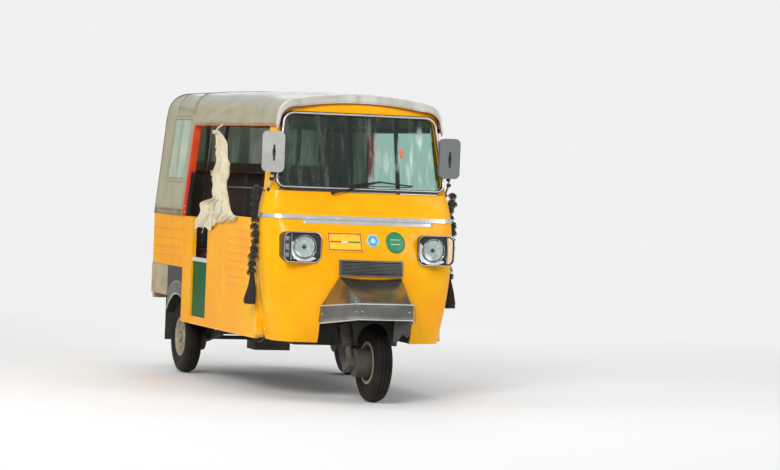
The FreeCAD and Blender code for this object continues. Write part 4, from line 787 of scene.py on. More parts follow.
# The stage
CAMERA_PLACE = (-5.74073, -17.81274, 1.51187)
CAMERA_TURN = tuple(math.radians(a) for a in (19.4749, 1.4392, 2.3143))  # yaw, down, roll
CAMERA_LENS = 126.73
SKY = srgb(240, 241, 240)
LAMPS = (  # place, target, size, power, colour, whether metal and glass show it
    ((-5.5, -8.0, 6.5), (0, -0.4, 0.9), 4.0, 620.0, (1.0, 0.98, 0.95), True),
    ((6.5, -5.0, 5.0), (0, 0, 0.9), 5.0, 220.0, (0.95, 0.98, 1.0), True),
    ((-8.0, -0.5, 3.6), (0, 0, 0.9), 4.0, 130.0, (1.0, 0.98, 0.94), False),
    ((0.0, 1.5, 8.0), (0, 0.2, 1.0), 6.0, 160.0, (1.0, 1.0, 1.0), False),
    ((3.2, 8.5, 5.0), (0, 0, 0.9), 5.0, 240.0, (1.0, 1.0, 1.0), True),
)
SENSOR_WIDTH, FAR_CLIP = 36.0, 200.0
WORLD_LIGHT, WORLD_GLOSS = 0.42, 0.38    # the backdrop's strength as light, and in gloss
FLOOR_SPREAD, FLOOR_FADE = 60.0, (3.2, 8.0)
FLOOR_GLOW = 0.45            # the far floor's strength as light


def make_camera():
    yaw, down, roll = CAMERA_TURN
    ahead = Vector((math.sin(yaw) * math.cos(down), math.cos(yaw) * math.cos(down), -math.sin(down)))
    level = Vector((math.cos(yaw), -math.sin(yaw), 0))
    upright = level.cross(ahead)
    right = math.cos(roll) * level + math.sin(roll) * upright
    top = math.cos(roll) * upright - math.sin(roll) * level
    lens = bpy.data.cameras.new("camera")
    lens.lens, lens.sensor_width, lens.clip_end = CAMERA_LENS, SENSOR_WIDTH, FAR_CLIP
    camera = placed("camera", lens)
    turn = Matrix((right, top, -ahead)).transposed().to_4x4()
    camera.matrix_world = Matrix.Translation(CAMERA_PLACE) @ turn
    bpy.context.scene.camera = camera


def make_world():
    """Pale all round for the eye, for gloss and through glass; softer as light."""
    world = bpy.data.worlds.new("studio")
    bpy.context.scene.world = world
    web = empty_web(world)
    seen = web.add("Background", {"Color": (*SKY, 1.0), "Strength": 1.0})
    soft = web.add("Background", {"Color": (0.95, 0.97, 1.0, 1.0), "Strength": WORLD_LIGHT})
    path = web.add("LightPath").outputs
    eye = web.math("MAXIMUM", path["Is Camera Ray"], path["Is Transmission Ray"])
    eye = web.math("MAXIMUM", eye, web.math("MULTIPLY", path["Is Glossy Ray"], WORLD_GLOSS))
    mixed = web.add("MixShader", {0: eye, 1: soft.outputs[0], 2: seen.outputs[0]})
    world.node_tree.links.new(mixed.outputs[0], web.add("OutputWorld").inputs[0])


def make_floor():
    """A pale floor that takes the shadow near the vehicle and fades into the backdrop."""
    made = bpy.data.materials.new("studio_floor")
    web = empty_web(made)
    place = web.add("TexCoord").outputs["Object"]
    far = web.add("VectorMath", {0: place}, operation="LENGTH").outputs["Value"]
    speckle = web.ramp(web.noise(place, 40.0), 0.3, 0.7, 0.80, 0.84)
    near = web.add("BsdfPrincipled", {"Roughness": 0.9, "Specular IOR Level": 0.1})
    path = web.add("LightPath").outputs
    eye = web.math("MAXIMUM", path["Is Camera Ray"], path["Is Transmission Ray"])
    tone = web.add("CombineColor", {0: speckle, 1: speckle, 2: speckle}).outputs[0]
    web.tree.links.new(tone, near.inputs["Base Color"])
    shine = web.ramp(eye, 0.0, 1.0, FLOOR_GLOW, 1.0)
    glow = web.add("Emission", {"Color": (*SKY, 1.0), "Strength": shine})
    fade = web.ramp(far, *FLOOR_FADE)
    mixed = web.add("MixShader", {0: fade, 1: near.outputs[0], 2: glow.outputs[0]})
    web.tree.links.new(mixed.outputs[0], web.add("OutputMaterial").inputs[0])
    bm = bmesh.new()
    bmesh.ops.create_circle(bm, cap_ends=True, segments=64, radius=FLOOR_SPREAD)
    mesh = meshed(bm, "floor")
    mesh.materials.append(made)
    floor = placed("floor", mesh)


def make_lamps():
    for number, (place, target, spread, power, tint, mirrored) in enumerate(LAMPS):
        lamp = bpy.data.lights.new("lamp_%d" % number, "AREA")
        lamp.shape, lamp.size, lamp.energy, lamp.color = "DISK", spread, power, tint
        holder = placed("lamp_%d" % number, lamp)
        aim = (Vector(target) - Vector(place)).to_track_quat("-Z", "Y").to_matrix().to_4x4()
        holder.matrix_world = Matrix.Translation(place) @ aim
        holder.visible_camera, holder.visible_glossy = False, mirrored


class RICKSHAW_OT_stage(bpy.types.Operator):
    """Set up the camera, floor, backdrop and lamps"""
    bl_idname = "rickshaw.stage"
    bl_label = "Stage"

    def execute(self, context):
        context.scene.view_settings.view_transform = "Standard"
        make_camera()
        make_world()
        make_floor()
        make_lamps()
        return {"FINISHED"}


class RICKSHAW_OT_finishes(bpy.types.Operator):
    """Give every CAD piece its paint, metal, rubber or plastic"""
    bl_idname = "rickshaw.finishes"
    bl_label = "Finishes"

    def execute(self, context):
        slots = {row["node"]: row["material_slot"] for row in frame["record"]["subparts"]}
        for name, piece in frame["nodes"].items():
            look = OWN_FINISH.get(name) or SLOT_FINISH.get(slots[name], slots[name])
            for slot in piece.material_slots:
                slot.material = finish(look)
        return {"FINISHED"}


# The hood
def between(rows, at):
    """A row of a table of sections at a station, from its two neighbours."""
    at = min(max(at, rows[0][0]), rows[-1][0])
    for low, high in zip(rows, rows[1:]):
        if at <= high[0]:
            share = (at - low[0]) / (high[0] - low[0])
            return [a + (b - a) * share for a, b in zip(low, high)]
    return list(rows[-1])


def hood_over(y, t):
    """Across and height on the hood's section at y, from the right foot over to the left one."""
    _, foot, shoulder, shoulder_z, crown_z, corner = between(HOOD_SECTIONS, y)
    centre, depth = shoulder - corner, crown_z - shoulder_z
    wide = (centre ** 2 + depth ** 2 - corner ** 2) / (2 * (depth - corner))
    joint = math.atan2(wide - depth, centre)
    straight = math.hypot(foot - shoulder, shoulder_z - BELT_Z)
    bend, spread = corner * joint, wide * (math.pi / 2 - joint)
    side = 1.0 if t > 0.5 else -1.0
    run = (1 - abs(2 * t - 1)) * (straight + bend + spread)
    if run <= straight:
        share = run / straight
        return side * (foot + (shoulder - foot) * share), BELT_Z + (shoulder_z - BELT_Z) * share
    if run <= straight + bend:
        a = (run - straight) / corner
        return side * (centre + corner * math.cos(a)), shoulder_z + corner * math.sin(a)
    a = joint + (run - straight - bend) / wide
    return side * wide * math.cos(a), crown_z - wide + wide * math.sin(a)


def hood_half(y, z):
    """Half width of the hood's side at a station and height, up to its round shoulder."""
    _, foot, shoulder, shoulder_z, _, corner = between(HOOD_SECTIONS, y)
    if z <= shoulder_z:
        return foot + (shoulder - foot) * (z - BELT_Z) / (shoulder_z - BELT_Z)
    return shoulder - corner + math.sqrt(max(corner ** 2 - (z - shoulder_z) ** 2, 0.0))


def circle_through(a, b, c):
    """Centre and radius of the circle through three points of a plane."""
    (ax, ay), (bx, by), (cx, cy) = a, b, c
    d = 2 * (ax * (by - cy) + bx * (cy - ay) + cx * (ay - by))
    sa, sb, sc = ax * ax + ay * ay, bx * bx + by * by, cx * cx + cy * cy
    x = (sa * (by - cy) + sb * (cy - ay) + sc * (ay - by)) / d
    y = (sa * (cx - bx) + sb * (ax - cx) + sc * (bx - ax)) / d
    return x, y, math.hypot(ax - x, ay - y)


ROUND_Y, ROUND_Z, ROUND_R = circle_through(*HOOD_BACK[1:])


def hood_end(z):
    """Where the hood's back stands at a height."""
    (foot_y, foot_z), (back_y, back_z) = HOOD_BACK[:2]
    if z <= back_z:
        return foot_y + (back_y - foot_y) * (z - foot_z) / (back_z - foot_z)
    return ROUND_Y + math.sqrt(max(ROUND_R ** 2 - (z - ROUND_Z) ** 2, 0.0))


NEAR_BACK = 1.45             # along, where the hood's section last stands upright
HOOD_CORE_Z = 1.45           # bands over the hood are lifted away from this height


def hood_rim(t):
    """A point on the seam between the hood's top and its back."""
    y = hood_end(hood_over(NEAR_BACK, t)[1])
    x, z = hood_over(y, t)
    return Vector((x, y, z))


ACROSS_CELLS, ALONG_CELLS, BACK_CELLS = 150, 116, 48
# Folds of the hood's side: start and end as (along, height), height as a share of the user's,
# width, whether the left side has it too
FOLDS = (
    ((0.47, 1.795), (-0.17, 1.905), 1.25, 0.020, False),
    ((0.66, 1.765), (0.05, 1.805), 0.65, 0.016, True),
    ((0.62, 1.790), (-0.45, 1.822), 0.50, 0.018, False),
    ((0.10, 1.772), (-0.86, 1.768), 0.60, 0.013, True),
    ((-0.10, 1.798), (-0.80, 1.790), 0.45, 0.014, True),
    ((0.70, 1.760), (0.42, 1.900), 0.55, 0.018, True),
    ((0.84, 1.800), (0.62, 1.930), 0.40, 0.022, True),
    ((1.27, 1.150), (1.25, 1.360), 0.45, 0.016, True),
    ((1.42, 1.180), (1.36, 1.520), 0.40, 0.022, False),
    ((0.86, 1.300), (0.84, 1.160), 0.35, 0.014, True),
    ((1.40, 1.780), (1.30, 1.900), 0.45, 0.024, True),
    ((-0.55, 1.850), (-0.20, 1.930), 0.40, 0.026, True),
)


def fold_height(y, z, left):
    """Ridge and trough of the folds at a place on the side."""
    total = 0.0
    for start, end, height, width, both in FOLDS:
        if left and not both:
            continue
        run = Vector(end) - Vector(start)
        off = Vector((y, z)) - Vector(start)
        along = off.dot(run) / run.length_squared
        if not 0 < along < 1:
            continue
        away = (run.x * off.y - run.y * off.x) / run.length / width
        if abs(away) < 4:
            ends = math.sin(math.pi * along) ** 0.6
            total += height * ends * (math.exp(-(away - 0.6) ** 2) - 0.8 * math.exp(-(away + 0.6) ** 2))
    return total


SUPPORTS = (HOOD_FRONT_Y,) + BOW_STATIONS + (NEAR_BACK,)


def cloth_rise(place, hood):
    """How far the cloth stands off the CAD hood: sag between bows, folds and ripples."""
    x, y, z = place
    sink = 0.0
    for low, high in zip(SUPPORTS, SUPPORTS[1:]):
        if low < y < high:
            sink = math.sin(math.pi * (y - low) / (high - low)) ** 2
    roof = min(max((z - 1.80) / 0.15, 0.0), 1.0)
    rise = -hood.sag * sink * (0.25 + 0.75 * roof)
    rise += hood.fold * fold_height(y, z, x > 0) * (1 - 0.8 * roof) if abs(x) > 0.35 else 0.0
    rise += 0.0026 * noise.noise(Vector((x, y, z)) * 5.0) + 0.0012 * noise.noise(Vector((x, y, z)) * 17.0)
    held = min(max((z - BELT_Z) / 0.05, 0.15), 1.0)
    return rise * held


def cut(bm, keep, place, normal):
    """Splits the faces that keep() picks along a plane."""
    faces = [face for face in bm.faces if keep(face.calc_center_median())]
    geom = list({v for f in faces for v in f.verts}) + list({e for f in faces for e in f.edges}) + faces
    bmesh.ops.bisect_plane(bm, geom=geom, dist=WELD, plane_co=place, plane_no=normal)


def slant(start, end):
    """Normal of the plane through a line of the side view."""
    run = Vector(end) - Vector(start)
    return Vector((0, run.y, -run.x)).normalized()


def beside(start, end, y, z):
    """Positive behind a line of the side view."""
    run = Vector(end) - Vector(start)
    return (y - start[0]) - run.x * (z - start[1]) / run.y


def cut_openings(bm):
    """Cuts the side openings away and marks the clear windows with material 1."""
    cut(bm, lambda c: c.y < 0.86, (0, 0, OPENING_TOP_Z), UP)
    start, end = OPENING_REAR
    cut(bm, lambda c: 0.62 < c.y < 0.90 and c.z < OPENING_TOP_Z, (0, *start), slant(start, end))
    gone = [f for f in bm.faces if f.calc_center_median().z < OPENING_TOP_Z
            and beside(start, end, *f.calc_center_median().yz) < 0]
    bmesh.ops.delete(bm, geom=gone, context="FACES")
    low, high = SIDE_WINDOW[2][1], SIDE_WINDOW[0][1]
    fore, aft = (SIDE_WINDOW[0], SIDE_WINDOW[3]), (SIDE_WINDOW[1], SIDE_WINDOW[2])

    def near(c):
        return 0.80 < c.y < 1.37 and 1.30 < c.z < 1.84 and abs(c.x) > 0.5

    for z in (low, high):
        cut(bm, near, (0, 0, z), UP)
    for line in (fore, aft):
        cut(bm, near, (0, *line[0]), slant(*line))
    for face in bm.faces:
        c = face.calc_center_median()
        if low < c.z < high and beside(*fore, c.y, c.z) > 0 > beside(*aft, c.y, c.z):
            face.material_index = 1

    def back(c):
        return c.y > 1.30 and 1.45 < c.z < 1.80 and abs(c.x) < 0.56

    for z in REAR_WINDOW_Z:
        cut(bm, back, (0, 0, z), UP)
    for pair in REAR_WINDOW_X:
        for x in pair:
            cut(bm, back, (x, 0, 0), ACROSS)
    for face in bm.faces:
        c = face.calc_center_median()
        if c.y > 1.40 and REAR_WINDOW_Z[0] < c.z < REAR_WINDOW_Z[1]:
            if any(x0 < c.x < x1 for x0, x1 in REAR_WINDOW_X):
                face.material_index = 1


def side_line(points, lift):
    """Points on the right side of the hood along straight runs of (along, height)."""
    places = [Vector(start).lerp(Vector(end), i / 24)
              for start, end in zip(points, points[1:]) for i in range(24)] + [points[-1]]
    return [Vector((-hood_half(y, z) - lift, y, z)) for y, z in places]


def other_side(points):
    """The same points on the vehicle's other side."""
    return [Vector((-p[0], p[1], p[2])) for p in points]


def side_band(bm, start, end, width, lift, cells=30):
    """A band of cloth or paint on both sides, from start to end and width towards the back."""
    for side in SIDES:
        def place(u, v, side=side):
            y, z = Vector(start).lerp(Vector(end), v)
            y += width * u
            return Vector((side * (hood_half(y, z) + lift), y, z))
        lay(bm, 4, cells, place)


def over_point(y, t, lift):
    """A point that stands off the hood's section at y."""
    x, z = hood_over(y, t)
    return Vector((x, y, z)) + Vector((x, 0, z - HOOD_CORE_Z)).normalized() * lift


def over_band(bm, y0, y1, lift, t0, t1):
    """A band of cloth over the hood between two stations."""
    lay(bm, 120, 3, lambda u, v: over_point(y0 + (y1 - y0) * v, t0 + (t1 - t0) * u, lift))


def over_line(y, lift, t0, t1):
    """Points over the hood at a station."""
    return [over_point(y, t0 + (t1 - t0) * i / 110, lift) for i in range(111)]


def sheet_area(bm):
    return sum(face.calc_area() for face in bm.faces)


OPENING_T = 0.243            # the opening's upper edge lies this share of the way over the hood
SEAM_T = 0.245               # and the seams over the bows start here
SEAM_BOWS, SEAM_HALF = (0.760, 1.180), 0.018
WINDOW_SEAM, REAR_SEAM = 0.020, 0.014    # from a clear window's edge to the stitches round it
STITCH_RUNS = (  # rows of stitches on the sides: runs of (along, height), how far they stand off
    (((0.760, 1.846), (1.190, 1.872)), 0.0045),
    (((0.762, 1.830), (1.190, 1.856)), 0.0045),
    (((0.812, 1.140), (1.530, 1.140)), 0.0050),
    (((0.775, 1.735), (0.852, 1.160)), 0.0045),
    (((-0.90, 1.757), (0.715, 1.757)), 0.0045),
)


def make_hood_cover(hood):
    bm = bmesh.new()

    def top(u, v):
        end = hood_end(hood_over(NEAR_BACK, u)[1])
        y = HOOD_FRONT_Y + (end - HOOD_FRONT_Y) * v
        x, z = hood_over(y, u)
        return Vector((x, y, z))

    def back(u, v):
        rim = hood_rim(v / 2)
        return Vector((rim.x * (1 - 2 * u), rim.y, rim.z))

    lay(bm, ACROSS_CELLS, ALONG_CELLS, top)
    lay(bm, BACK_CELLS, ACROSS_CELLS // 2, back)
    bmesh.ops.remove_doubles(bm, verts=bm.verts[:], dist=0.0002)
    bmesh.ops.recalc_face_normals(bm, faces=bm.faces[:])
    cut_openings(bm)
    bm.normal_update()
    if sum(f.normal.z for f in bm.faces if f.calc_center_median().z > 1.9) < 0:
        bmesh.ops.reverse_faces(bm, faces=bm.faces[:])
        bm.normal_update()
    for vert, rise in [(v, cloth_rise(v.co, hood)) for v in bm.verts]:
        vert.co += vert.normal * rise
    film = bm.copy()
    for sheet, drop in ((film, 0), (bm, 1)):
        gone = [f for f in sheet.faces if f.material_index == drop]
        bmesh.ops.delete(sheet, geom=gone, context="FACES")
    for face in film.faces:
        face.material_index = 0
    area = sheet_area(bm)
    cover = publish(bm, "hood_cover", "canvas", "hood_cloth", replaces=("hood_canvas",), sharp=60.0,
                    turn=False, wall=hood.cloth)
    for vert in film.verts:
        vert.co -= vert.normal * hood.cloth
    publish(film, "hood_film", "clear_sheet", "hazy_film", replaces=("hood_windows",), turn=False,
            wall=0.0008)


def make_hood_trim():
    """Hems, seams, piping and the painted strip behind the opening."""
    bm = bmesh.new()
    side_band(bm, *OPENING_REAR, 0.030, 0.006)
    for side in SIDES:
        def front(u, v, side=side):
            y, z = Vector(OPENING_REAR[0]).lerp(Vector(OPENING_REAR[1]), v)
            return Vector((side * (hood_half(y, z) + 0.006 - 0.044 * u), y - 0.012, z))
        lay(bm, 4, 30, front)
    soften(publish(bm, "pillar_strips", "canvas", "red_paint", wall=0.003), 0.0012)

    bm = bmesh.new()
    upper = side_line(((-0.915, OPENING_TOP_Z), OPENING_REAR[0]), 0.0015)
    for points in (upper, other_side(upper)):
        tube(bm, points, 0.0042, bent=False)
    publish(bm, "opening_piping", "canvas", "orange_piping")

    bm = bmesh.new()
    ends = OPENING_T, 1 - OPENING_T
    over_band(bm, HOOD_FRONT_Y - 0.004, HOOD_FRONT_Y + 0.034, 0.0035, *ends)
    tube(bm, over_line(HOOD_FRONT_Y - 0.003, 0.001, *ends), 0.0055, bent=False)
    publish(bm, "front_hem", "canvas", "pale_hem", wall=0.0015)

    bm = bmesh.new()
    side_band(bm, (0.800, 1.150), (0.806, 1.107), 0.735, 0.003, cells=4)

    def back(u, v):
        z = 1.107 + 0.043 * v
        y = hood_end(z) + 0.003
        return Vector((hood_half(y, z) * (1 - 2 * u), y, z))

    lay(bm, 60, 4, back)
    publish(bm, "foot_hems", "canvas", "hem_cloth", wall=0.0012)

    bm = bmesh.new()
    for y in SEAM_BOWS:
        over_band(bm, y - SEAM_HALF, y + SEAM_HALF, 0.0022, SEAM_T, 1 - SEAM_T)
    publish(bm, "hood_seams", "canvas", "hood_cloth", wall=0.0012)

    bm = bmesh.new()
    rim = [hood_rim(i / 140) + ALONG * 0.002 for i in range(141)]
    tube(bm, rim, 0.0045, bent=False)
    publish(bm, "back_piping", "canvas", "hem_cloth")


def make_hood_stitches():
    """Stitches round the windows, beside the seams and along the hems."""
    bm = bmesh.new()
    (y0, top), (y1, _), (y2, foot), (y3, _) = SIDE_WINDOW
    top, foot = top + WINDOW_SEAM, foot - WINDOW_SEAM
    outline = ((y0 - WINDOW_SEAM, top), (y1 + WINDOW_SEAM, top), (y2 + WINDOW_SEAM, foot),
               (y3 - WINDOW_SEAM, foot))
    for run, lift in ((outline + outline[:1], 0.0035),) + STITCH_RUNS:
        row = side_line(run, lift)
        for points in (row, other_side(row)):
            stitches(bm, points, radius=0.0011)
    for y in (0.745, 0.775, 1.165, 1.195, HOOD_FRONT_Y + 0.026):
        stitches(bm, over_line(y, 0.0045, SEAM_T, 1 - SEAM_T), radius=0.0011)
    for x0, x1 in REAR_WINDOW_X:
        for z in (REAR_WINDOW_Z[0] - REAR_SEAM, REAR_WINDOW_Z[1] + REAR_SEAM):
            y = hood_end(z) + 0.004
            stitches(bm, [(x0, y, z), (x1, y, z)], radius=0.0011)
    publish(bm, "hood_stitches", "canvas", "thread")


class RICKSHAW_OT_hood(bpy.types.Operator):
    """Stretch the hood's cloth over its bows, with its windows, hems and stitches"""
    bl_idname = "rickshaw.hood"
    bl_label = "Hood"

    def execute(self, context):
        make_hood_cover(context.scene.rickshaw_hood)
        make_hood_trim()
        make_hood_stitches()
        return {"FINISHED"}


# Nose and front
PLATE = (-0.286, -0.053, 0.953, 1.080)   # across from, to; height from, to
PLATE_LIFT, PRINT_LIFT = 0.004, 0.0052
PLATE_RIM, PLATE_LINE = 0.009, 0.006
BADGE = (0.017, 1.028, 0.046)            # across, height, radius
DISC = (0.173, 1.020, 0.068)
DISC_LINE = (0.034, 0.004)               # half width and height of the lines on the disc
SECOND_STRIP = (-0.424, 0.462, 1.127, 1.1535)
TRIM_RIVETS = (-0.56, -0.40, -0.20, 0.0, 0.20, 0.40, 0.56)
COWL_BOLTS_Y, COWL_BOLTS = -0.856, (0.43, 0.62, 0.84, 1.05, 1.24)


def nose_patch(bm, x0, x1, z0, z1, lift, look=0, cells=(12, 6), node="front_cowl"):
    """A thin patch that lies on the front of a node."""
    def place(u, v):
        return on_nose(x0 + (x1 - x0) * u, z0 + (z1 - z0) * v, lift, node)
    lay(bm, cells[0], cells[1], place, look)


def nose_disc(bm, x, z, radius, lift, segments, look=0):
    """A round or cornered patch on the nose."""
    def place(u, v):
        a = 2 * math.pi * u
        corner = math.pi / segments
        reach = v * radius * math.cos(corner) / math.cos((a + corner) % (2 * corner) - corner)
        return on_nose(x + reach * math.sin(a), z + reach * math.cos(a), lift)
    lay(bm, max(segments, 24), 5, place, look)


def make_number_plate():
    x0, x1, z0, z1 = PLATE
    bm = bmesh.new()
    nose_patch(bm, x0, x1, z0, z1, PLATE_LIFT)
    a, b, c, d = x0 + PLATE_RIM, x1 - PLATE_RIM, z0 + PLATE_RIM, z1 - PLATE_RIM
    for low, high in ((c, c + PLATE_LINE), (d - PLATE_LINE, d)):
        nose_patch(bm, a, b, low, high, PRINT_LIFT, 1, (10, 1))
    for low, high in ((a, a + PLATE_LINE), (b - PLATE_LINE, b)):
        nose_patch(bm, low, high, c, d, PRINT_LIFT, 1, (1, 8))
    middle, start, width = (z0 + z1) / 2, x0 + 2 * PLATE_RIM, x1 - x0 - 4 * PLATE_RIM
    for low, high, look in ((0.0, 0.37, 1), (0.37, 0.60, 2), (0.60, 1.0, 3)):
        nose_patch(bm, start + width * low, start + width * high, middle - 0.004, middle + 0.004,
                   PRINT_LIFT, look, (5, 1))
    publish(bm, "number_plate", "trim_metal", "plate_enamel", "border_red", "line_white",
            "badge_green", wall=0.002)


def make_grille_back():
    """A dark bulkhead behind the grille."""
    low, high = (Vector(corner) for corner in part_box("grille"))
    bm = bmesh.new()
    brick(bm, (low.x - 0.01, high.y + 0.012, low.z - 0.01),
          (high.x + 0.01, high.y + 0.016, high.z + 0.01), 0.001)
    publish(bm, "grille_back", "dark_metal", "lamp_black")


def make_nose_trim():
    """Badge, disc, second strip, rivets and bolts."""
    bm = bmesh.new()
    x, z, radius = BADGE
    nose_disc(bm, x, z, radius, 0.002, 6)
    nose_disc(bm, x, z, radius * 0.78, 0.0028, 6, 1)
    nose_disc(bm, x, z, radius * 0.42, 0.0036, 6)
    x, z, radius = DISC
    nose_disc(bm, x, z, radius, 0.002, 48, 2)
    half, high = DISC_LINE
    for low in (z - 0.012, z + 0.016):
        nose_patch(bm, x - half, x + half, low, low + high, 0.0028, 3, (6, 1))
    publish(bm, "nose_badges", "trim_metal", "badge_pale", "badge_blue", "badge_green", "line_white",
            wall=0.0006)
    bm = bmesh.new()
    nose_patch(bm, *SECOND_STRIP, 0.0030, cells=(60, 6))
    publish(bm, "second_strip", "trim_metal", "bright_trim", wall=0.004)
    bm = bmesh.new()
    for x in TRIM_RIVETS:
        place, normal = touch("trim_strip", (x, -CLEAR, 1.165), ALONG)
        bar(bm, place - normal * 0.001, place + normal * 0.002, 0.0045, 0.003)
    for x in (PLATE[0] + 0.028, PLATE[1] - 0.028):
        bolt(bm, on_nose(x, PLATE[3] - 0.022, PLATE_LIFT), -ALONG, 0.0045)
    for side in SIDES:
        for z in COWL_BOLTS:
            place, normal = touch("front_cowl", (side * CLEAR, COWL_BOLTS_Y, z), (-side, 0, 0))
            bolt(bm, place, normal, 0.005)
    publish(bm, "nose_rivets", "trim_metal", "bright_trim")


class RICKSHAW_OT_nose(bpy.types.Operator):
    """Fit the number plate, badges, second strip and rivets on the nose"""
    bl_idname = "rickshaw.nose"
    bl_label = "Nose trim"

    def execute(self, context):
        make_number_plate()
        make_nose_trim()
        make_grille_back()
        return {"FINISHED"}


LAMP_X, LAMP_Z = (0.332, 0.574), (0.882, 1.070)
LAMP_FACE_Y, LAMP_MIDDLE_X, LAMP_MIDDLE_Z = -1.204, 0.436, 0.976
TURN_X = 0.530               # between the head lamp and its turn lamp
BOWL_RIM = 0.077


def mirrored_x(x0, x1, side):
    return (x0, x1) if side > 0 else (-x1, -x0)


def lamp_face(side):
    return side * LAMP_MIDDLE_X, LAMP_FACE_Y, LAMP_MIDDLE_Z


def lamp_surround(bm, side):
    """The dished plate round the reflector, bright reflector finish at its lower side towards -x and
    black over the rest: a painted reflection and painted shade.
    """
    half_z = (LAMP_Z[1] - LAMP_Z[0]) / 2 - 0.004
    x, z = side * LAMP_MIDDLE_X, LAMP_MIDDLE_Z
    ends = sorted((side * (LAMP_X[0] + 0.004), side * (TURN_X - 0.003)))

    def place(u, v):
        angle = 2 * math.pi * u
        way = Vector((math.cos(angle), math.sin(angle)))
        far = min((ends[1] - x if way.x > 0 else x - ends[0]) / max(abs(way.x), 1e-6),
                  half_z / max(abs(way.y), 1e-6))
        square = (1.0 - 0.16 * abs(math.sin(2 * angle)) ** 6) * far
        reach = BOWL_RIM + (max(square, BOWL_RIM + 0.0005) - BOWL_RIM) * v
        return Vector((x + way.x * reach, LAMP_FACE_Y + 0.001 - 0.008 * v, z + way.y * reach))

    before = len(bm.faces)
    lay(bm, 96, 3, place)
    bm.faces.ensure_lookup_table()
    for face in bm.faces[before:]:
        away = face.calc_center_median() - Vector((x, LAMP_FACE_Y, z))
        # Painted reflection on the lower part towards -x, painted shade on the rest
        face.material_index = int(away.x * 0.7 + away.z < -0.022)


def make_lamp_bezels():
    bm = bmesh.new()
    for side in SIDES:
        x0, x1 = mirrored_x(LAMP_X[0] - 0.004, LAMP_X[1] + 0.004, side)
        ring = bmesh.new()
        frame_ring(ring, x0, x1, LAMP_Z[0] - 0.004, LAMP_Z[1] + 0.004, LAMP_FACE_Y + 0.020, 0.045,
                   0.0060, 0.027)
        ring.normal_update()
        for face in ring.faces:
            face.material_index = 2 if abs(face.normal.y) < 0.6 else 0
        mesh = meshed(ring, "ring")
        bm.from_mesh(mesh)
        bpy.data.meshes.remove(mesh)
        face = lamp_face(side)
        lathe(bm, ((0.002, 0.0715), (-0.005, 0.0725), (-0.007, 0.0745), (-0.005, 0.0768),
                   (0.001, 0.0775)), face, ALONG, 56)
        lathe(bm, ((0.0045, 0.0700), (0.009, 0.0600), (0.013, 0.048), (0.016, 0.036), (0.018, 0.024),
                   (0.019, 0.012), (0.019, 0.0)), face, ALONG, 48, 1)
        edge = side * (TURN_X - 0.003)
        brick(bm, (edge - 0.002, LAMP_FACE_Y - 0.004, LAMP_Z[0] + 0.010),
              (edge + 0.002, LAMP_FACE_Y + 0.004, LAMP_Z[1] - 0.010), 0.0008)
    publish(bm, "lamp_bezels", "lamp_bezel", "chrome", "reflector", "lamp_black", sharp=40)


def make_lamp_insides():
    """The dished plates, the bulbs and the plain glass over them."""
    bm = bmesh.new()
    for side in SIDES:
        lamp_surround(bm, side)
    publish(bm, "lamp_surrounds", "lamp_bezel", "lamp_black", "reflector", sharp=40)

    bm = bmesh.new()
    for side in SIDES:
        face = lamp_face(side)
        lathe(bm, ((0.019, 0.013), (0.012, 0.012), (0.008, 0.010), (0.004, 0.008), (0.001, 0.004),
                   (0.000, 0.0)), face, ALONG, 20)
        for z in (LAMP_MIDDLE_Z - 0.028, LAMP_MIDDLE_Z + 0.030):
            x = side * (TURN_X + 0.019)
            lathe(bm, ((0.0255, 0.011), (0.016, 0.011), (0.014, 0.0)), (x, LAMP_FACE_Y, z), ALONG, 16)
    publish(bm, "lamp_bulbs", "lamp_bezel", "lamp_black")

    bm = bmesh.new()
    for side in SIDES:
        face = lamp_face(side)
        outer = ((0.0015, 0.0714), (-0.003, 0.069), (-0.0065, 0.058), (-0.009, 0.040), (-0.0105, 0.020),
                 (-0.011, 0.0))
        inner = tuple((along + 0.003, max(radius - 0.0015, 0.0)) for along, radius in reversed(outer))
        lathe(bm, outer + inner, face, ALONG, 56, closed=True)
    publish(bm, "lamp_lens_domes", "lamp_glass", "lamp_glass", replaces=("lamp_lenses",))


def make_turn_lamps():
    for side, look in ((-1, "turn_clear"), (1, "turn_milky")):
        bm = bmesh.new()
        x0, x1 = mirrored_x(LAMP_X[0] + 0.0085, LAMP_X[1] - 0.0085, side)
        rounded_plate(bm, x0, x1, LAMP_Z[0] + 0.0085, LAMP_Z[1] - 0.0085, LAMP_FACE_Y + 0.008, 0.034)
        bmesh.ops.bisect_plane(bm, geom=bm.verts[:] + bm.edges[:] + bm.faces[:], dist=WELD,
                               plane_co=(side * TURN_X, 0, 0), plane_no=(side, 0, 0), clear_inner=True)
        drawn_out(bm, bm.faces[:], (0, -0.012, 0))
        bmesh.ops.bevel(bm, geom=[e for e in bm.edges if all(v.co.y < LAMP_FACE_Y for v in e.verts)],
                        offset=0.003, segments=3, affect="EDGES", profile=0.5, material=-1)
        publish(bm, "turn_lens_right" if side < 0 else "turn_lens_left", "lamp_glass", look)

    bm = bmesh.new()
    for side in SIDES:
        x0, x1 = mirrored_x(TURN_X + 0.002, LAMP_X[1] - 0.010, side)
        brick(bm, (x0, LAMP_FACE_Y + 0.0225, LAMP_Z[0] + 0.030),
              (x1, LAMP_FACE_Y + 0.0255, LAMP_Z[1] - 0.030), 0.001)
    publish(bm, "turn_backs", "lamp_bezel", "reflector")


class RICKSHAW_OT_head_lamps(bpy.types.Operator):
    """Build the head lamps' bezels, reflectors, bulbs and lenses"""
    bl_idname = "rickshaw.head_lamps"
    bl_label = "Head lamps"

    def execute(self, context):
        make_lamp_bezels()
        make_lamp_insides()
        make_turn_lamps()
        return {"FINISHED"}


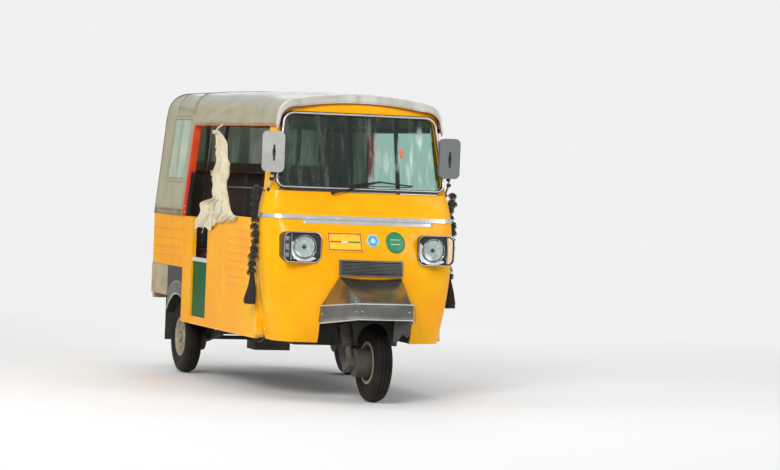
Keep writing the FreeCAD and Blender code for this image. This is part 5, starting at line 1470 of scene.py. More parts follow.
SCREEN_FOOT, SCREEN_HEAD = (0.578, 1.352), (0.512, 1.832)
SCREEN_CORNER = 0.060
SEAL_GUIDE_Y = -1.030        # just ahead of the whole seal
STICKER = (0.266, 0.288, 1.565, 1.627)
WIPER = ((-0.059, 1.373), (0.339, 1.377))


def screen_loop(inset, lift):
    """Points round the windscreen's seal, read off the frame behind it."""
    bm = bmesh.new()
    fx, fz = SCREEN_FOOT[0] - inset, SCREEN_FOOT[1] + inset
    hx, hz = SCREEN_HEAD[0] - inset, SCREEN_HEAD[1] - inset
    verts = [bm.verts.new((x, 0, z)) for x, z in ((-fx, fz), (fx, fz), (hx, hz), (-hx, hz))]
    bm.faces.new(verts)
    bmesh.ops.bevel(bm, geom=verts, offset=SCREEN_CORNER - inset, segments=8, affect="VERTICES",
                    profile=0.5, material=-1)
    bmesh.ops.subdivide_edges(bm, edges=[e for e in bm.edges if e.calc_length() > 0.2], cuts=15)
    bm.faces.ensure_lookup_table()
    outline = [vert.co.copy() for vert in bm.faces[0].verts]
    bm.free()
    loop = []
    for place in outline:
        ahead = Vector((place.x, SEAL_GUIDE_Y, place.z))
        near = skin("windscreen_seal").find_nearest(ahead)[0]
        loop.append(Vector((place.x, near.y - lift, place.z)))
    return loop


def make_windscreen():
    inner, outer = screen_loop(0.0055, 0.0050), screen_loop(-0.0055, 0.0050)
    inner, outer = inner + inner[:1], outer + outer[:1]

    def ribbon(u, v):
        number = round(u * (len(inner) - 1))
        narrow = 0.62 if inner[number].z < SCREEN_FOOT[1] + 0.025 else 1.0
        return inner[number].lerp(outer[number], v * narrow)

    bm = bmesh.new()
    lay(bm, len(inner) - 1, 3, ribbon)
    publish(bm, "seal_insert", "trim_metal", "bright_trim", wall=0.002)
    foot = [place for place in screen_loop(0.0, 0.0) if place.z < SCREEN_FOOT[1] + 0.002]
    foot.sort(key=lambda place: place.x)

    def lip(u, v):
        number = round(u * (len(foot) - 1))
        return foot[number] - UP * (0.006 + 0.011 * v) - ALONG * (0.001 + 0.005 * v)

    bm = bmesh.new()
    lay(bm, len(foot) - 1, 5, lip)
    publish(bm, "scuttle_seal", "seal_rubber", "seal_rubber", wall=0.003)
    bm = bmesh.new()
    nose_patch(bm, *STICKER, 0.0012, cells=(3, 6), node="windscreen_glass")
    publish(bm, "glass_sticker", "glass", "sticker_orange", wall=0.0004)
    bm = bmesh.new()
    (x0, z0), (x1, z1) = WIPER
    tube(bm, [on_nose(x0 + (x1 - x0) * i / 14, z0 + (z1 - z0) * i / 14, 0.004, "windscreen_glass")
              for i in range(15)], 0.003, bent=False)
    publish(bm, "wiper_rubber", "seal_rubber", "seal_rubber")


class RICKSHAW_OT_windscreen(bpy.types.Operator):
    """Add the seal's bright insert, a plain sticker and the wiper's rubber"""
    bl_idname = "rickshaw.windscreen"
    bl_label = "Windscreen trim"

    def execute(self, context):
        make_windscreen()
        return {"FINISHED"}


# Outline of the shroud's lower band: across, along, lower and upper height
SHROUD_BAND = (
    (-0.322, -1.225, 0.500, 0.604),
    (-0.178, -1.560, 0.548, 0.640),
    (0.178, -1.560, 0.548, 0.640),
    (0.322, -1.225, 0.500, 0.604),
)


BAND_LAP = 0.004             # how far the band reaches below its outline
BEAD = 0.0055


def make_shroud_trim():
    bm = bmesh.new()
    for start, end in zip(SHROUD_BAND, SHROUD_BAND[1:]):
        def place(u, v, start=start, end=end):
            x, y, low, high = (a + (b - a) * u for a, b in zip(start, end))
            return Vector((x * (1.0 + 0.002 * v), y, low - BAND_LAP + (high - low + BAND_LAP) * v))
        lay(bm, 14, 4, place)
    bmesh.ops.remove_doubles(bm, verts=bm.verts[:], dist=0.001)
    soften(publish(bm, "shroud_band", "worn_steel", "worn_steel", sharp=20, wall=0.004, offset=1.0),
           0.0018)
    bm = bmesh.new()
    tube(bm, [Vector((x, y, low - BAND_LAP)) for x, y, low, _ in SHROUD_BAND], BEAD, bent=False)
    # Partly painted highlight: the upper bead's bright trim, brighter than the shroud's steel, stands for
    # the highlight along the lip's upper fold
    tube(bm, [Vector((x, y, high + 0.001)) for x, y, _, high in SHROUD_BAND], BEAD, bent=False)
    for start, end in zip(SHROUD_BAND, SHROUD_BAND[1:]):
        out = Vector((end[1] - start[1], start[0] - end[0], 0)).normalized()
        for share in (0.06, 0.94):
            x, y, low, high = (a + (b - a) * share for a, b in zip(start, end))
            place = Vector((x, y, (low + high) / 2))
            if out.dot(Vector((x, y + 1.3, 0))) < 0:
                out = -out
            bolt(bm, place + out * 0.004, out, 0.0035)
    publish(bm, "shroud_bead", "worn_steel", "bright_trim")


def make_fork_trim():
    """The boot and the brake pipe on the fork."""
    axis = Vector((0, math.sin(RAKE), math.cos(RAKE)))
    wheel = Vector((0, WHEELS[0][2], WHEEL_Z)) - STEER_GROUND
    ahead = wheel - axis * wheel.dot(axis)
    foot = STEER_GROUND + ahead + Vector((-0.121, 0, 0))
    rings = [(0.356 + i * 0.0078, 0.0345 if i % 2 else 0.0405) for i in range(19)]
    bm = bmesh.new()
    lathe(bm, [(0.350, 0.028)] + rings + [(0.500, 0.030)], foot, axis, 28)
    publish(bm, "fork_boot", "dark_metal", "moulded_black", body="steering", sharp=70)
    base = STEER_GROUND + Vector((-0.150, 0, 0)) + Vector((0, 0.028, 0))
    pipe = [base + axis * t + Vector((dx, 0, 0)) for t, dx in
            ((0.500, 0.004), (0.440, 0.000), (0.380, -0.004), (0.320, -0.002), (0.262, 0.004))]
    bm = bmesh.new()
    tube(bm, pipe, 0.0042)
    for t in (0.47, 0.40, 0.33):
        at = base + axis * t
        brick(bm, at - Vector((0.006, 0.008, 0.005)), at + Vector((0.010, 0.008, 0.005)), 0.002)
    publish(bm, "brake_pipe", "dark_metal", "seal_rubber", body="steering")


def make_flap():
    def place(u, v):
        sway = 0.012 * math.sin(5.0 * u + 2.0 * v) + 0.02 * v
        drop = 0.150 * v * (1 - 0.35 * u + 0.12 * math.sin(9 * u))
        return Vector((0.075 + 0.105 * u, -1.532 + sway, 0.552 - drop))

    bm = bmesh.new()
    lay(bm, 14, 14, place)
    publish(bm, "shroud_flap", "seal_rubber", "moulded_black", wall=0.004, offset=0.0)


class RICKSHAW_OT_front_gear(bpy.types.Operator):
    """Build the shroud's band and bead, the fork's boot, the brake pipe and the flap"""
    bl_idname = "rickshaw.front_gear"
    bl_label = "Shroud and fork"

    def execute(self, context):
        make_shroud_trim()
        make_fork_trim()
        make_flap()
        return {"FINISHED"}


# Wheels
# Half of the tyre's outline from the bead to the tread: across, radius
TYRE_SIDE = ((0.0407, 0.1252), (0.0407, 0.139), (0.0535, 0.162), (0.0575, 0.188), (0.0545, 0.217),
             (0.0455, 0.237))
# Half of the tread: the groove's outer and inner edge, and the middle groove's edge
TREAD = ((0.0265, 0.2458), (0.0205, 0.2474), (0.0030, 0.2499))


def tyre_outline(groove):
    """Closed outline of a grooved tyre: across, radius."""
    outer, inner, middle = TREAD
    half = list(TYRE_SIDE)
    half += [outer, (outer[0] - 0.001, outer[1] - groove), (inner[0] + 0.001, inner[1] - groove), inner]
    half += [middle, (middle[0] - 0.001, middle[1] - groove)]
    return half + [(-x, r) for x, r in reversed(half)]


def make_tyres(wheels):
    for name, x, y, body, _ in WHEELS:
        bm = bmesh.new()
        lathe(bm, tyre_outline(wheels.groove), (x, y, WHEEL_Z), ACROSS, wheels.steps, closed=True)
        publish(bm, "treaded_tyre_" + name, "tyre_rubber", "tyre_rubber", replaces=("tyre_" + name,),
                sharp=50, body=body)


NUT_CIRCLE = 0.053


def make_wheel_nuts():
    """Four nuts, a hub cap and a valve on each wheel."""
    for name, x, y, body, side in WHEELS:
        bm = bmesh.new()
        for i in range(4):
            a = math.pi / 4 + i * math.pi / 2
            place = (x + side * 0.0375, y + NUT_CIRCLE * math.cos(a), WHEEL_Z + NUT_CIRCLE * math.sin(a))
            bolt(bm, place, (side, 0, 0), 0.0085)
        lathe(bm, ((side * 0.020, 0.0), (side * 0.056, 0.0), (side * 0.054, 0.018), (side * 0.046, 0.026),
                   (side * 0.022, 0.028), (side * 0.020, 0.0)), (x, y, WHEEL_Z), ACROSS, 28)
        bar(bm, (x + side * 0.030, y, WHEEL_Z + 0.104), (x + side * 0.052, y, WHEEL_Z + 0.110),
            0.0035, 0.003, 10)
        publish(bm, "wheel_nuts_" + name, "rim_silver", "rim_silver", body=body)


class RICKSHAW_OT_wheels(bpy.types.Operator):
    """Replace the tyres with grooved ones and fit hub caps, nuts and valves"""
    bl_idname = "rickshaw.wheels"
    bl_label = "Wheels"

    def execute(self, context):
        make_tyres(context.scene.rickshaw_wheels)
        make_wheel_nuts()
        return {"FINISHED"}


# The hood's front wrap
WRAP_WIDTHS = (  # share of the way over the hood, width of the cloth that is folded down in front
    (0.236, 0.012), (0.262, 0.020), (0.300, 0.040), (0.335, 0.056), (0.500, 0.058),
    (0.665, 0.056), (0.700, 0.040), (0.738, 0.020), (0.764, 0.012),
)
WRAP_CENTRE_Z = 1.40         # the wrap is folded towards this height
WRAP_LIFT = 0.004


def header_point(x, z, lift):
    """A point over the header above the windscreen."""
    try:
        place, _ = touch("windscreen_frame", (x, -CLEAR, z), ALONG)
    except RuntimeError:
        place = Vector((x, HOOD_FRONT_Y, z))
    return Vector((x, min(place.y, HOOD_FRONT_Y) - lift, z))


def wrap_place(t, v, lift):
    """Along the hood's front edge, and from it down over the header."""
    x, z = hood_over(HOOD_FRONT_Y, t)
    rim = Vector((x, HOOD_FRONT_Y, z))
    out = (rim - Vector((x * 0.55, HOOD_FRONT_Y, WRAP_CENTRE_Z))).normalized()
    if v < 0:
        return rim + out * lift + ALONG * (-v * 0.05)
    width = between(WRAP_WIDTHS, t)[1]
    inner = rim - out * (width * v - lift * (1 - v))
    ripple = 0.0012 * math.sin(t * 190.0) * v
    return header_point(inner.x, inner.z, lift + ripple)


def wrap_line(v, lift, first=0, last=120):
    """Points along the wrap, from step to step of 120."""
    t0, t1 = WRAP_WIDTHS[0][0], WRAP_WIDTHS[-1][0]
    return [wrap_place(t0 + (t1 - t0) * i / 120, v, lift) for i in range(first, last + 1)]


def make_front_wrap():
    t0, t1 = WRAP_WIDTHS[0][0], WRAP_WIDTHS[-1][0]
    bm = bmesh.new()
    lay(bm, 150, 9, lambda u, v: wrap_place(t0 + (t1 - t0) * u, v * 1.25 - 0.25, WRAP_LIFT))
    publish(bm, "front_wrap", "canvas", "wrap_cloth", wall=0.002)
    bm = bmesh.new()
    tube(bm, wrap_line(1.0, WRAP_LIFT), 0.0032, bent=False)
    publish(bm, "wrap_piping", "canvas", "dark_piping")
    bm = bmesh.new()
    stitches(bm, wrap_line(0.82, WRAP_LIFT + 0.0025, 8, 112))
    publish(bm, "wrap_stitches", "canvas", "thread")


class RICKSHAW_OT_front_wrap(bpy.types.Operator):
    """Fold the hood's front edge down over the header, with its piping"""
    bl_idname = "rickshaw.front_wrap"
    bl_label = "Front wrap"

    def execute(self, context):
        make_front_wrap()
        return {"FINISHED"}


# Seats
PADS = (  # CAD node, way that its face looks, seams across the face as shares of the width
    ("driver_cushion", (0, 0, 1), (0.34, 0.66)),
    ("driver_backrest", (0, -1, 0), (0.34, 0.66)),
    ("bench_cushion", (0, 0, 1), (0.125, 0.25, 0.375, 0.5, 0.625, 0.75, 0.875)),
    ("bench_backrest", (0, -1, 0), (0.125, 0.25, 0.375, 0.5, 0.625, 0.75, 0.875)),
)
FILL_FRAMES = 20
FILL_CAP = 0.014             # how far the padding may swell
FILL_START = 0.010           # how far inside its CAD box a pad starts
SEAM_WIDTH = 0.008
PIPING_INSET = 0.030
PROBE = 0.05                 # how far ahead of a pad's face a ray starts


def applied(piece):
    """The piece's mesh with its modifiers in it."""
    graph = bpy.context.evaluated_depsgraph_get()
    return bpy.data.meshes.new_from_object(piece.evaluated_get(graph))


def swollen(mesh):
    """The mesh after its cover is blown up, no point further than the cap from its start."""
    scene = bpy.context.scene
    holder = placed("fill", mesh)
    cloth = holder.modifiers.new("fill", "CLOTH")
    cover = cloth.settings
    cover.quality, cover.mass = 4, 0.25
    cover.tension_stiffness, cover.bending_stiffness = 18.0, 0.6
    cover.use_pressure, cover.uniform_pressure_force = True, 4.0
    cover.effector_weights.gravity = 0.0
    cloth.point_cache.frame_start, cloth.point_cache.frame_end = 1, FILL_FRAMES
    for number in range(1, FILL_FRAMES + 1):
        scene.frame_set(number)
    blown = applied(holder)
    scene.frame_set(1)
    for start, vert in zip(mesh.vertices, blown.vertices):
        move = vert.co - start.co
        if move.length > FILL_CAP:
            vert.co = start.co + move.normalized() * FILL_CAP
    bpy.data.objects.remove(holder)
    return blown


def remade(mesh, kind, **settings):
    """The mesh after one modifier."""
    holder = placed("step", mesh)
    step = holder.modifiers.new("step", kind)
    for key, value in settings.items():
        setattr(step, key, value)
    made = applied(holder)
    bpy.data.objects.remove(holder)
    return made


def stuffed(node, facing, seams, seats):
    """A pad of vinyl over foam with sewn channels, piping round its face and stitches."""
    low, high = (Vector(corner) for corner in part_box(node))
    facing = Vector(facing)
    bm = bmesh.new()
    start = Vector((FILL_START,) * 3)
    brick(bm, low + start, high - start, 0.026, segments=5)
    mesh = remade(meshed(bm, "pad"), "REMESH", mode="VOXEL", voxel_size=seats.voxel)
    mesh = swollen(mesh)
    mesh = remade(mesh, "SUBSURF", levels=1, render_levels=1)
    bm = bmesh.new()
    bm.from_mesh(mesh)
    bm.normal_update()
    lines = [low.x + (high.x - low.x) * share for share in seams]
    for vert in bm.verts:
        fronting = max(vert.normal.dot(facing), 0.0)
        near = min(abs(vert.co.x - x) for x in lines)
        vert.co -= facing * seats.channel * fronting * math.exp(-(near / SEAM_WIDTH) ** 2)
        vert.co -= vert.normal * 0.0012 * (noise.noise(vert.co * 9.0) + 0.6 * noise.noise(vert.co * 23.0))
        for axis in range(3):
            vert.co[axis] = min(max(vert.co[axis], low[axis] - 0.003), high[axis] + 0.006)
    cover = BVHTree.FromBMesh(bm)
    pad = publish(bm, node + "_pad", "seat_cover", "seat_vinyl", replaces=(node,), sharp=70)

    up = ALONG if facing.z else UP
    depth = (high - low).dot(up)
    front = high.dot(facing) if facing.z else -low.y

    def on_face(x, rise, lift):
        """The place on the pad's face, or none where the ray passes it."""
        probe = ACROSS * x + up * (low.dot(up) + rise) + facing * (front + PROBE)
        place = cover.ray_cast(probe, -facing)[0]
        return [] if place is None else [place + facing * lift]

    left, right, top = low.x + PIPING_INSET, high.x - PIPING_INSET, depth - PIPING_INSET
    corners = [(left, PIPING_INSET), (right, PIPING_INSET), (right, top), (left, top)]
    loop = []
    for (x0, d0), (x1, d1) in zip(corners, corners[1:] + corners[:1]):
        for i in range(1, 30):
            loop += on_face(x0 + (x1 - x0) * i / 30, d0 + (d1 - d0) * i / 30, 0.001)
    bm = bmesh.new()
    tube(bm, loop, 0.0035, loop=True, bent=False)
    publish(bm, node + "_piping", "seat_cover", "seat_piping")
    bm = bmesh.new()
    for x in lines:
        row = []
        for i in range(31):
            rise = PIPING_INSET + 0.012 + (depth - 2 * PIPING_INSET - 0.024) * i / 30
            row += on_face(x, rise, 0.0006)
        stitches(bm, row, pitch=0.010, length=0.006)
    publish(bm, node + "_stitches", "seat_cover", "seat_piping")


class RICKSHAW_OT_seats(bpy.types.Operator):
    """Fill the cushions and backrests, and sew their channels, piping and stitches"""
    bl_idname = "rickshaw.seats"
    bl_label = "Seats"

    def execute(self, context):
        for node, facing, seams in PADS:
            stuffed(node, facing, seams, context.scene.rickshaw_seats)
        return {"FINISHED"}


# The curtain
CURTAIN_EDGES = (  # down the cloth: rear edge and front edge as (along, height)
    ((0.120, 1.690), (0.070, 1.702)),
    ((0.100, 1.655), (-0.030, 1.668)),
    ((0.085, 1.602), (-0.120, 1.622)),
    ((0.108, 1.552), (-0.178, 1.548)),
    ((0.078, 1.500), (-0.212, 1.494)),
    ((0.135, 1.430), (-0.206, 1.446)),
    ((0.168, 1.375), (-0.190, 1.390)),
    ((0.166, 1.300), (-0.186, 1.330)),
    ((0.170, 1.245), (-0.232, 1.250)),
    ((0.385, 1.205), (-0.290, 1.170)),
    ((0.410, 1.140), (-0.396, 1.138)),
    ((0.500, 1.075), (-0.392, 1.112)),
    ((0.516, 1.018), (-0.250, 1.100)),
)
CURTAIN_FOLDS = 6.0
CREST = 0.64                 # where across each pleat its crest stands
CURTAIN_REACH = 0.029        # how far the pleats may stand off the body's side
CORDS = ((0.505, 1.030), (0.300, 1.062), (-0.060, 1.085))    # ends of cord at the cloth's foot


def eased(rows, share):
    """A smooth place between the rows of a table, at a share of the way down it."""
    at = share * (len(rows) - 1)
    first = min(int(at), len(rows) - 2)
    part = at - first
    picks = [rows[min(max(first + step, 0), len(rows) - 1)] for step in (-1, 0, 1, 2)]
    p0, p1, p2, p3 = picks
    return [0.5 * (2 * b + (c - a) * part + (2 * a - 5 * b + 4 * c - d) * part ** 2
                   + (3 * b - a - 3 * c + d) * part ** 3) for a, b, c, d in zip(p0, p1, p2, p3)]


def curtain_place(u, v):
    """A point across the gathered cloth from its rear edge and down it, and its height on the pleat."""
    flat = [rear + front for rear, front in CURTAIN_EDGES]
    y0, z0, y1, z1 = eased(flat, v)
    drift = u + 0.05 * math.sin(5.0 * v + 1.0) * math.sin(math.pi * u)
    y, z = y0 + (y1 - y0) * drift, z0 + (z1 - z0) * drift
    wave = (CURTAIN_FOLDS * drift + 0.45 * math.sin(4.2 * v + 3.0 * u) + 1.1 * v
            + 0.9 * noise.noise(Vector((u * 3, v * 6, 2))))
    part = wave % 1.0
    pleat = min(part / CREST, (1.0 - part) / (1.0 - CREST))
    sharp = pleat * (0.65 + 0.35 * math.sin(1.7 * wave + 2.0 * v) ** 2)
    deep = 0.017 + 0.009 * min(1.0, 3.0 * v) * (1 - 0.3 * v)
    crease = (0.008 * abs(noise.noise(Vector((y * 13, z * 9, 0.5))))
              + 0.006 * abs(noise.noise(Vector((y * 31 + z * 12, z * 24, 1.5)))))
    out = deep * sharp + crease
    foot = max(v - 0.9, 0.0) / 0.1
    hem = 0.022 * math.sin(9.0 * u + 0.6) + 0.010 * math.sin(23.0 * u)
    z += foot * hem * math.sin(math.pi * u) ** 0.5
    shift = 0.008 * math.sin(2 * math.pi * wave) * min(1.0, 0.3 + abs(y1 - y0) * 2)
    return Vector((-side_x(y) - min(out, CURTAIN_REACH), y + shift, z)), pleat


def make_curtain():
    """The cloth, its rings and the ends of cord at its foot."""
    bm = bmesh.new()
    valleys = []

    def place(u, v):
        point, pleat = curtain_place(u, v)
        # Painted shade: how far down between the pleats each point lies, which darkens the cloth's colour
        # there
        valleys.append(max(1.0 - pleat / 0.34, 0.0) ** 1.3 * (0.55 + 0.45 * math.sin(7.0 * u + 5.0 * v)))
        return point

    lay(bm, 130, 150, place)
    depth = bm.verts.layers.float.new(PLEAT_SHADE)
    for vert, valley in zip(bm.verts, valleys):
        vert[depth] = valley
    area = sheet_area(bm)
    cloth = publish(bm, "curtain_cloth", "curtain_cloth", "curtain_cloth", replaces=("curtain",),
                    sharp=80, wall=0.0012, offset=0.0)

    bm = bmesh.new()
    x = -side_x(0.1) - 0.014
    top = Vector((x, 0.095, 1.694))
    for turn in range(3):
        lathe(bm, ((-0.0035, 0.026), (0.0, 0.029), (0.0035, 0.026), (0.0, 0.0235)),
              top + UP * (0.007 * turn - 0.010), (0.05 * turn, 0.12, 1.0), 24, closed=True)
    tube(bm, [top + UP * 0.004, top + Vector((0.008, 0.004, 0.030)), Vector((-0.640, 0.100, 1.738)),
              Vector((-0.636, 0.100, 1.752))], 0.006)
    ring = Vector((-side_x(0.18) - 0.012, 0.170, 1.415))
    lathe(bm, ((-0.003, 0.017), (0.0, 0.020), (0.003, 0.017), (0.0, 0.014)), ring, ACROSS, 24,
          closed=True)
    tube(bm, [ring + Vector((0, -0.016, 0)), ring + Vector((0.002, -0.035, -0.004)),
              ring + Vector((0.002, -0.055, -0.012))], 0.004)
    for y, z in CORDS:
        x = -side_x(y) - 0.012
        tube(bm, [(x, y, z), (x, y + 0.012, z - 0.022), (x - 0.003, y + 0.020, z - 0.050),
                  (x - 0.002, y + 0.040, z - 0.060)], 0.0022)
    ties = publish(bm, "curtain_ties", "curtain_cloth", "curtain_cloth")


class RICKSHAW_OT_curtain(bpy.types.Operator):
    """Gather the curtain at its tie and throw its foot over the side panel"""
    bl_idname = "rickshaw.curtain"
    bl_label = "Curtain"

    def execute(self, context):
        make_curtain()
        return {"FINISHED"}


# Yarn garlands
YARN_X, YARN_Y = 0.6768, -0.862
YARN_TOP_Z, YARN_PITCH, YARN_BEADS = 1.330, 0.048, 12
YARN_FOOT_Z = 0.585
YARN_RADIUS, TUFT_SHARE = 0.0011, 0.72   # the rest of the strands hang in the fringe
YARN_SEED = 11
# Sway of a garland to the outside down its length, as the wind has it
YARN_SWAY = ((1.330, 0.004), (1.210, -0.012), (1.130, 0.006), (0.960, 0.010), (0.860, -0.006),
             (0.740, 0.008), (0.585, 0.004))


def yarn_centre(side, z):
    rows = YARN_SWAY[::-1]
    return Vector((side * YARN_X + between(rows, z)[1], YARN_Y, z))


def make_garland(side, yarn):
    """A string of knots with their tufts, and the fringe under them."""
    chance = random.Random(YARN_SEED + side)
    curve = new_curve(YARN_RADIUS, caps=False)
    low_bead = YARN_TOP_Z - YARN_PITCH * (YARN_BEADS - 1)
    tufts = int(yarn.strands * TUFT_SHARE)
    knots = [yarn_centre(side, YARN_TOP_Z - YARN_PITCH * number)
             + Vector((chance.uniform(-0.005, 0.005), chance.uniform(-0.006, 0.006), 0))
             for number in range(YARN_BEADS)]
    sizes = [chance.uniform(0.8, 1.25) for _ in knots]
    for _ in range(tufts):
        number = chance.randrange(YARN_BEADS)
        centre = knots[number]
        out = Vector((chance.gauss(0, 1), chance.gauss(0, 1), chance.gauss(0, 0.8))).normalized()
        length = yarn.length * chance.uniform(0.6, 1.1) * sizes[number]
        root = centre + out * 0.014
        middle = root + out * length * 0.32 + UP * 0.002
        tip = root + out * length * 0.54 - UP * length * 0.28
        add_run(curve, (root, middle, tip))
    for _ in range(yarn.strands - tufts):
        z = chance.uniform(low_bead - 0.07, low_bead)
        angle, reach = chance.uniform(0, 2 * math.pi), chance.uniform(0.2, 1.0)
        way = Vector((math.cos(angle), math.sin(angle), 0))
        root = yarn_centre(side, z) + way * 0.008
        foot = YARN_FOOT_Z + chance.uniform(0.0, 0.09) * (1.4 - reach)
        middle_z = (z + foot) / 2
        wide = Vector((way.x * (0.052 if way.x * side > 0 else 0.026), way.y * 0.046, 0)) * reach
        middle = yarn_centre(side, middle_z) + way * 0.006 + wide * 0.45
        tip = Vector((side * YARN_X, YARN_Y, foot)) + wide
        add_run(curve, (root, middle, tip), thick=1.5)
    bm = bmesh.new()
    absorb(bm, curve)
    for knot, share in zip(knots, sizes):
        place = Matrix.Translation(knot) @ Matrix.Diagonal((1.0, 1.0, 1.15, 1.0))
        bmesh.ops.create_icosphere(bm, subdivisions=2, radius=0.019 * share, matrix=place)
    bar(bm, yarn_centre(side, low_bead), yarn_centre(side, YARN_FOOT_Z + 0.07), 0.010, 0.014, 10)
    return bm


def make_garlands(yarn):
    """The garlands, the loops that they hang from, and the loop under the sill."""
    for side, name in ((-1, "right"), (1, "left")):
        bm = make_garland(side, yarn)
        publish(bm, "yarn_garland_" + name, "black_yarn", "black_yarn",
                replaces=("garlands",) if side < 0 else (), sharp=60)
    bm = bmesh.new()
    for side in SIDES:
        place, normal = touch("front_cowl", (side * CLEAR, -0.872, 1.318), (-side, 0, 0))
        tube(bm, [place - normal * 0.002, place + normal * 0.012 + UP * 0.010,
                  yarn_centre(side, YARN_TOP_Z) + UP * 0.012, yarn_centre(side, YARN_TOP_Z)], 0.003)
    publish(bm, "garland_loops", "black_yarn", "black_yarn")
    bm = bmesh.new()
    hang = ((-0.600, 0.372), (-0.640, 0.350), (-0.720, 0.336), (-0.800, 0.342), (-0.845, 0.372))
    tube(bm, [Vector((-0.574, y, z)) for y, z in hang], 0.005)
    publish(bm, "sill_loop", "seal_rubber", "moulded_black")


class RICKSHAW_OT_garlands(bpy.types.Operator):
    """Hang the yarn garlands beside the nose"""
    bl_idname = "rickshaw.garlands"
    bl_label = "Garlands"

    def execute(self, context):
        make_garlands(context.scene.rickshaw_yarn)
        return {"FINISHED"}


# Mirrors
MIRROR_X, MIRROR_Z, MIRROR_FRONT_Y, MIRROR_BACK_Y = 0.601, 1.574, -0.995, -0.961
MIRROR_HALF_W, MIRROR_HALF_H, MIRROR_CORNER = 0.071, 0.131, 0.034


def make_mirror_parts():
    bm = bmesh.new()
    for side in SIDES:
        x, rim = side * MIRROR_X, 0.008
        rounded_plate(bm, x - MIRROR_HALF_W + rim, x + MIRROR_HALF_W - rim,
                      MIRROR_Z - MIRROR_HALF_H + rim, MIRROR_Z + MIRROR_HALF_H - rim,
                      MIRROR_BACK_Y + 0.0015, MIRROR_CORNER - rim)
    bmesh.ops.reverse_faces(bm, faces=[f for f in bm.faces if f.normal.y < 0])
    publish(bm, "mirror_glasses", "mirror_shell", "mirror_glass", turn=False, wall=0.0012)
    bm = bmesh.new()
    for side in SIDES:
        x, face = side * MIRROR_X, MIRROR_FRONT_Y
        rounded_plate(bm, x - 0.0065, x + 0.0065, MIRROR_Z - 0.059, MIRROR_Z + 0.045, face - 0.0008,
                      0.006, 1)
        rounded_plate(bm, x - 0.011, x + 0.009, MIRROR_Z - 0.024, MIRROR_Z + 0.020, face - 0.0012,
                      0.008, 1)
        lathe(bm, ((0.0, 0.010), (-0.004, 0.009), (-0.006, 0.005), (-0.0065, 0.0)),
              (x, face, MIRROR_Z - 0.020), ALONG, 20, 1)
    publish(bm, "mirror_slots", "mirror_shell", "mirror_shell", "lamp_black")
    bm = bmesh.new()
    for side in SIDES:
        knee = Vector((side * 0.606, -0.978, 1.400))
        foot = Vector((side * 0.600, -0.895, 1.300))
        place, _ = touch("front_cowl", knee, foot - knee)
        lathe(bm, ((-0.004, 0.0), (-0.004, 0.017), (0.004, 0.016), (0.008, 0.010), (0.016, 0.0095),
                   (0.016, 0.0)), place, knee - foot, 24)
        lathe(bm, ((-0.012, 0.0), (-0.012, 0.011), (0.012, 0.011), (0.012, 0.0)), knee, ACROSS, 16)
        low = Vector((side * MIRROR_X, -0.978, MIRROR_Z - MIRROR_HALF_H))
        brick(bm, low - Vector((0.012, 0.012, 0.016)), low + Vector((0.012, 0.012, 0.006)), 0.004)
    publish(bm, "mirror_clamps", "dark_metal", "dark_metal")


class RICKSHAW_OT_mirrors(bpy.types.Operator):
    """Fit the mirrors' glass, slots and clamps"""
    bl_idname = "rickshaw.mirrors"
    bl_label = "Mirrors"

    def execute(self, context):
        make_mirror_parts()
        return {"FINISHED"}


# The driver's place
DIALS = ((0.0, 1.204, 0.046), (-0.110, 1.208, 0.026), (0.110, 1.208, 0.026))  # across, height, radius
DASH_Y = -0.880


def make_dials():
    bm = bmesh.new()
    back = DASH_Y
    for x, z, radius in DIALS:
        centre = (x, back, z)
        lathe(bm, ((0.0, radius + 0.006), (0.008, radius + 0.005), (0.010, radius + 0.001),
                   (0.007, radius)), centre, ALONG, 40)
        lathe(bm, ((0.003, 0.0), (0.003, radius + 0.001)), centre, ALONG, 40, 1)
        for tick in range(13):
            a = math.radians(-120 + 20 * tick)
            out = Vector((math.sin(a), 0, math.cos(a)))
            start = Vector((x, back + 0.0042, z)) + out * radius * 0.76
            bar(bm, start, start + out * radius * (0.18 if tick % 3 else 0.24), 0.0007, None, 6, 2)
        hand = Vector((-0.62, 0, 0.45)).normalized()
        hub = Vector((x, back + 0.0055, z))
        bar(bm, hub, hub + hand * radius * 0.74, 0.0012, 0.0005, 6, 3)
        lathe(bm, ((0.003, 0.004), (0.008, 0.004), (0.008, 0.0)), centre, ALONG, 14)
    for number in range(4):
        x = -0.060 + 0.040 * number
        brick(bm, (x - 0.011, back - 0.002, 1.148), (x + 0.011, back + 0.006, 1.164), 0.0015)
    publish(bm, "dials", "dash_plastic", "moulded_black", "dial_white", "lamp_black", "border_red",
            sharp=40)


def steered(x, back, up):
    """A point given beside, behind and along the steering column."""
    cos, sin = math.cos(RAKE), math.sin(RAKE)
    return STEER_GROUND + Vector((x, back * cos + up * sin, up * cos - back * sin))


BAR_UP = 1.322               # the handlebar's place along the column


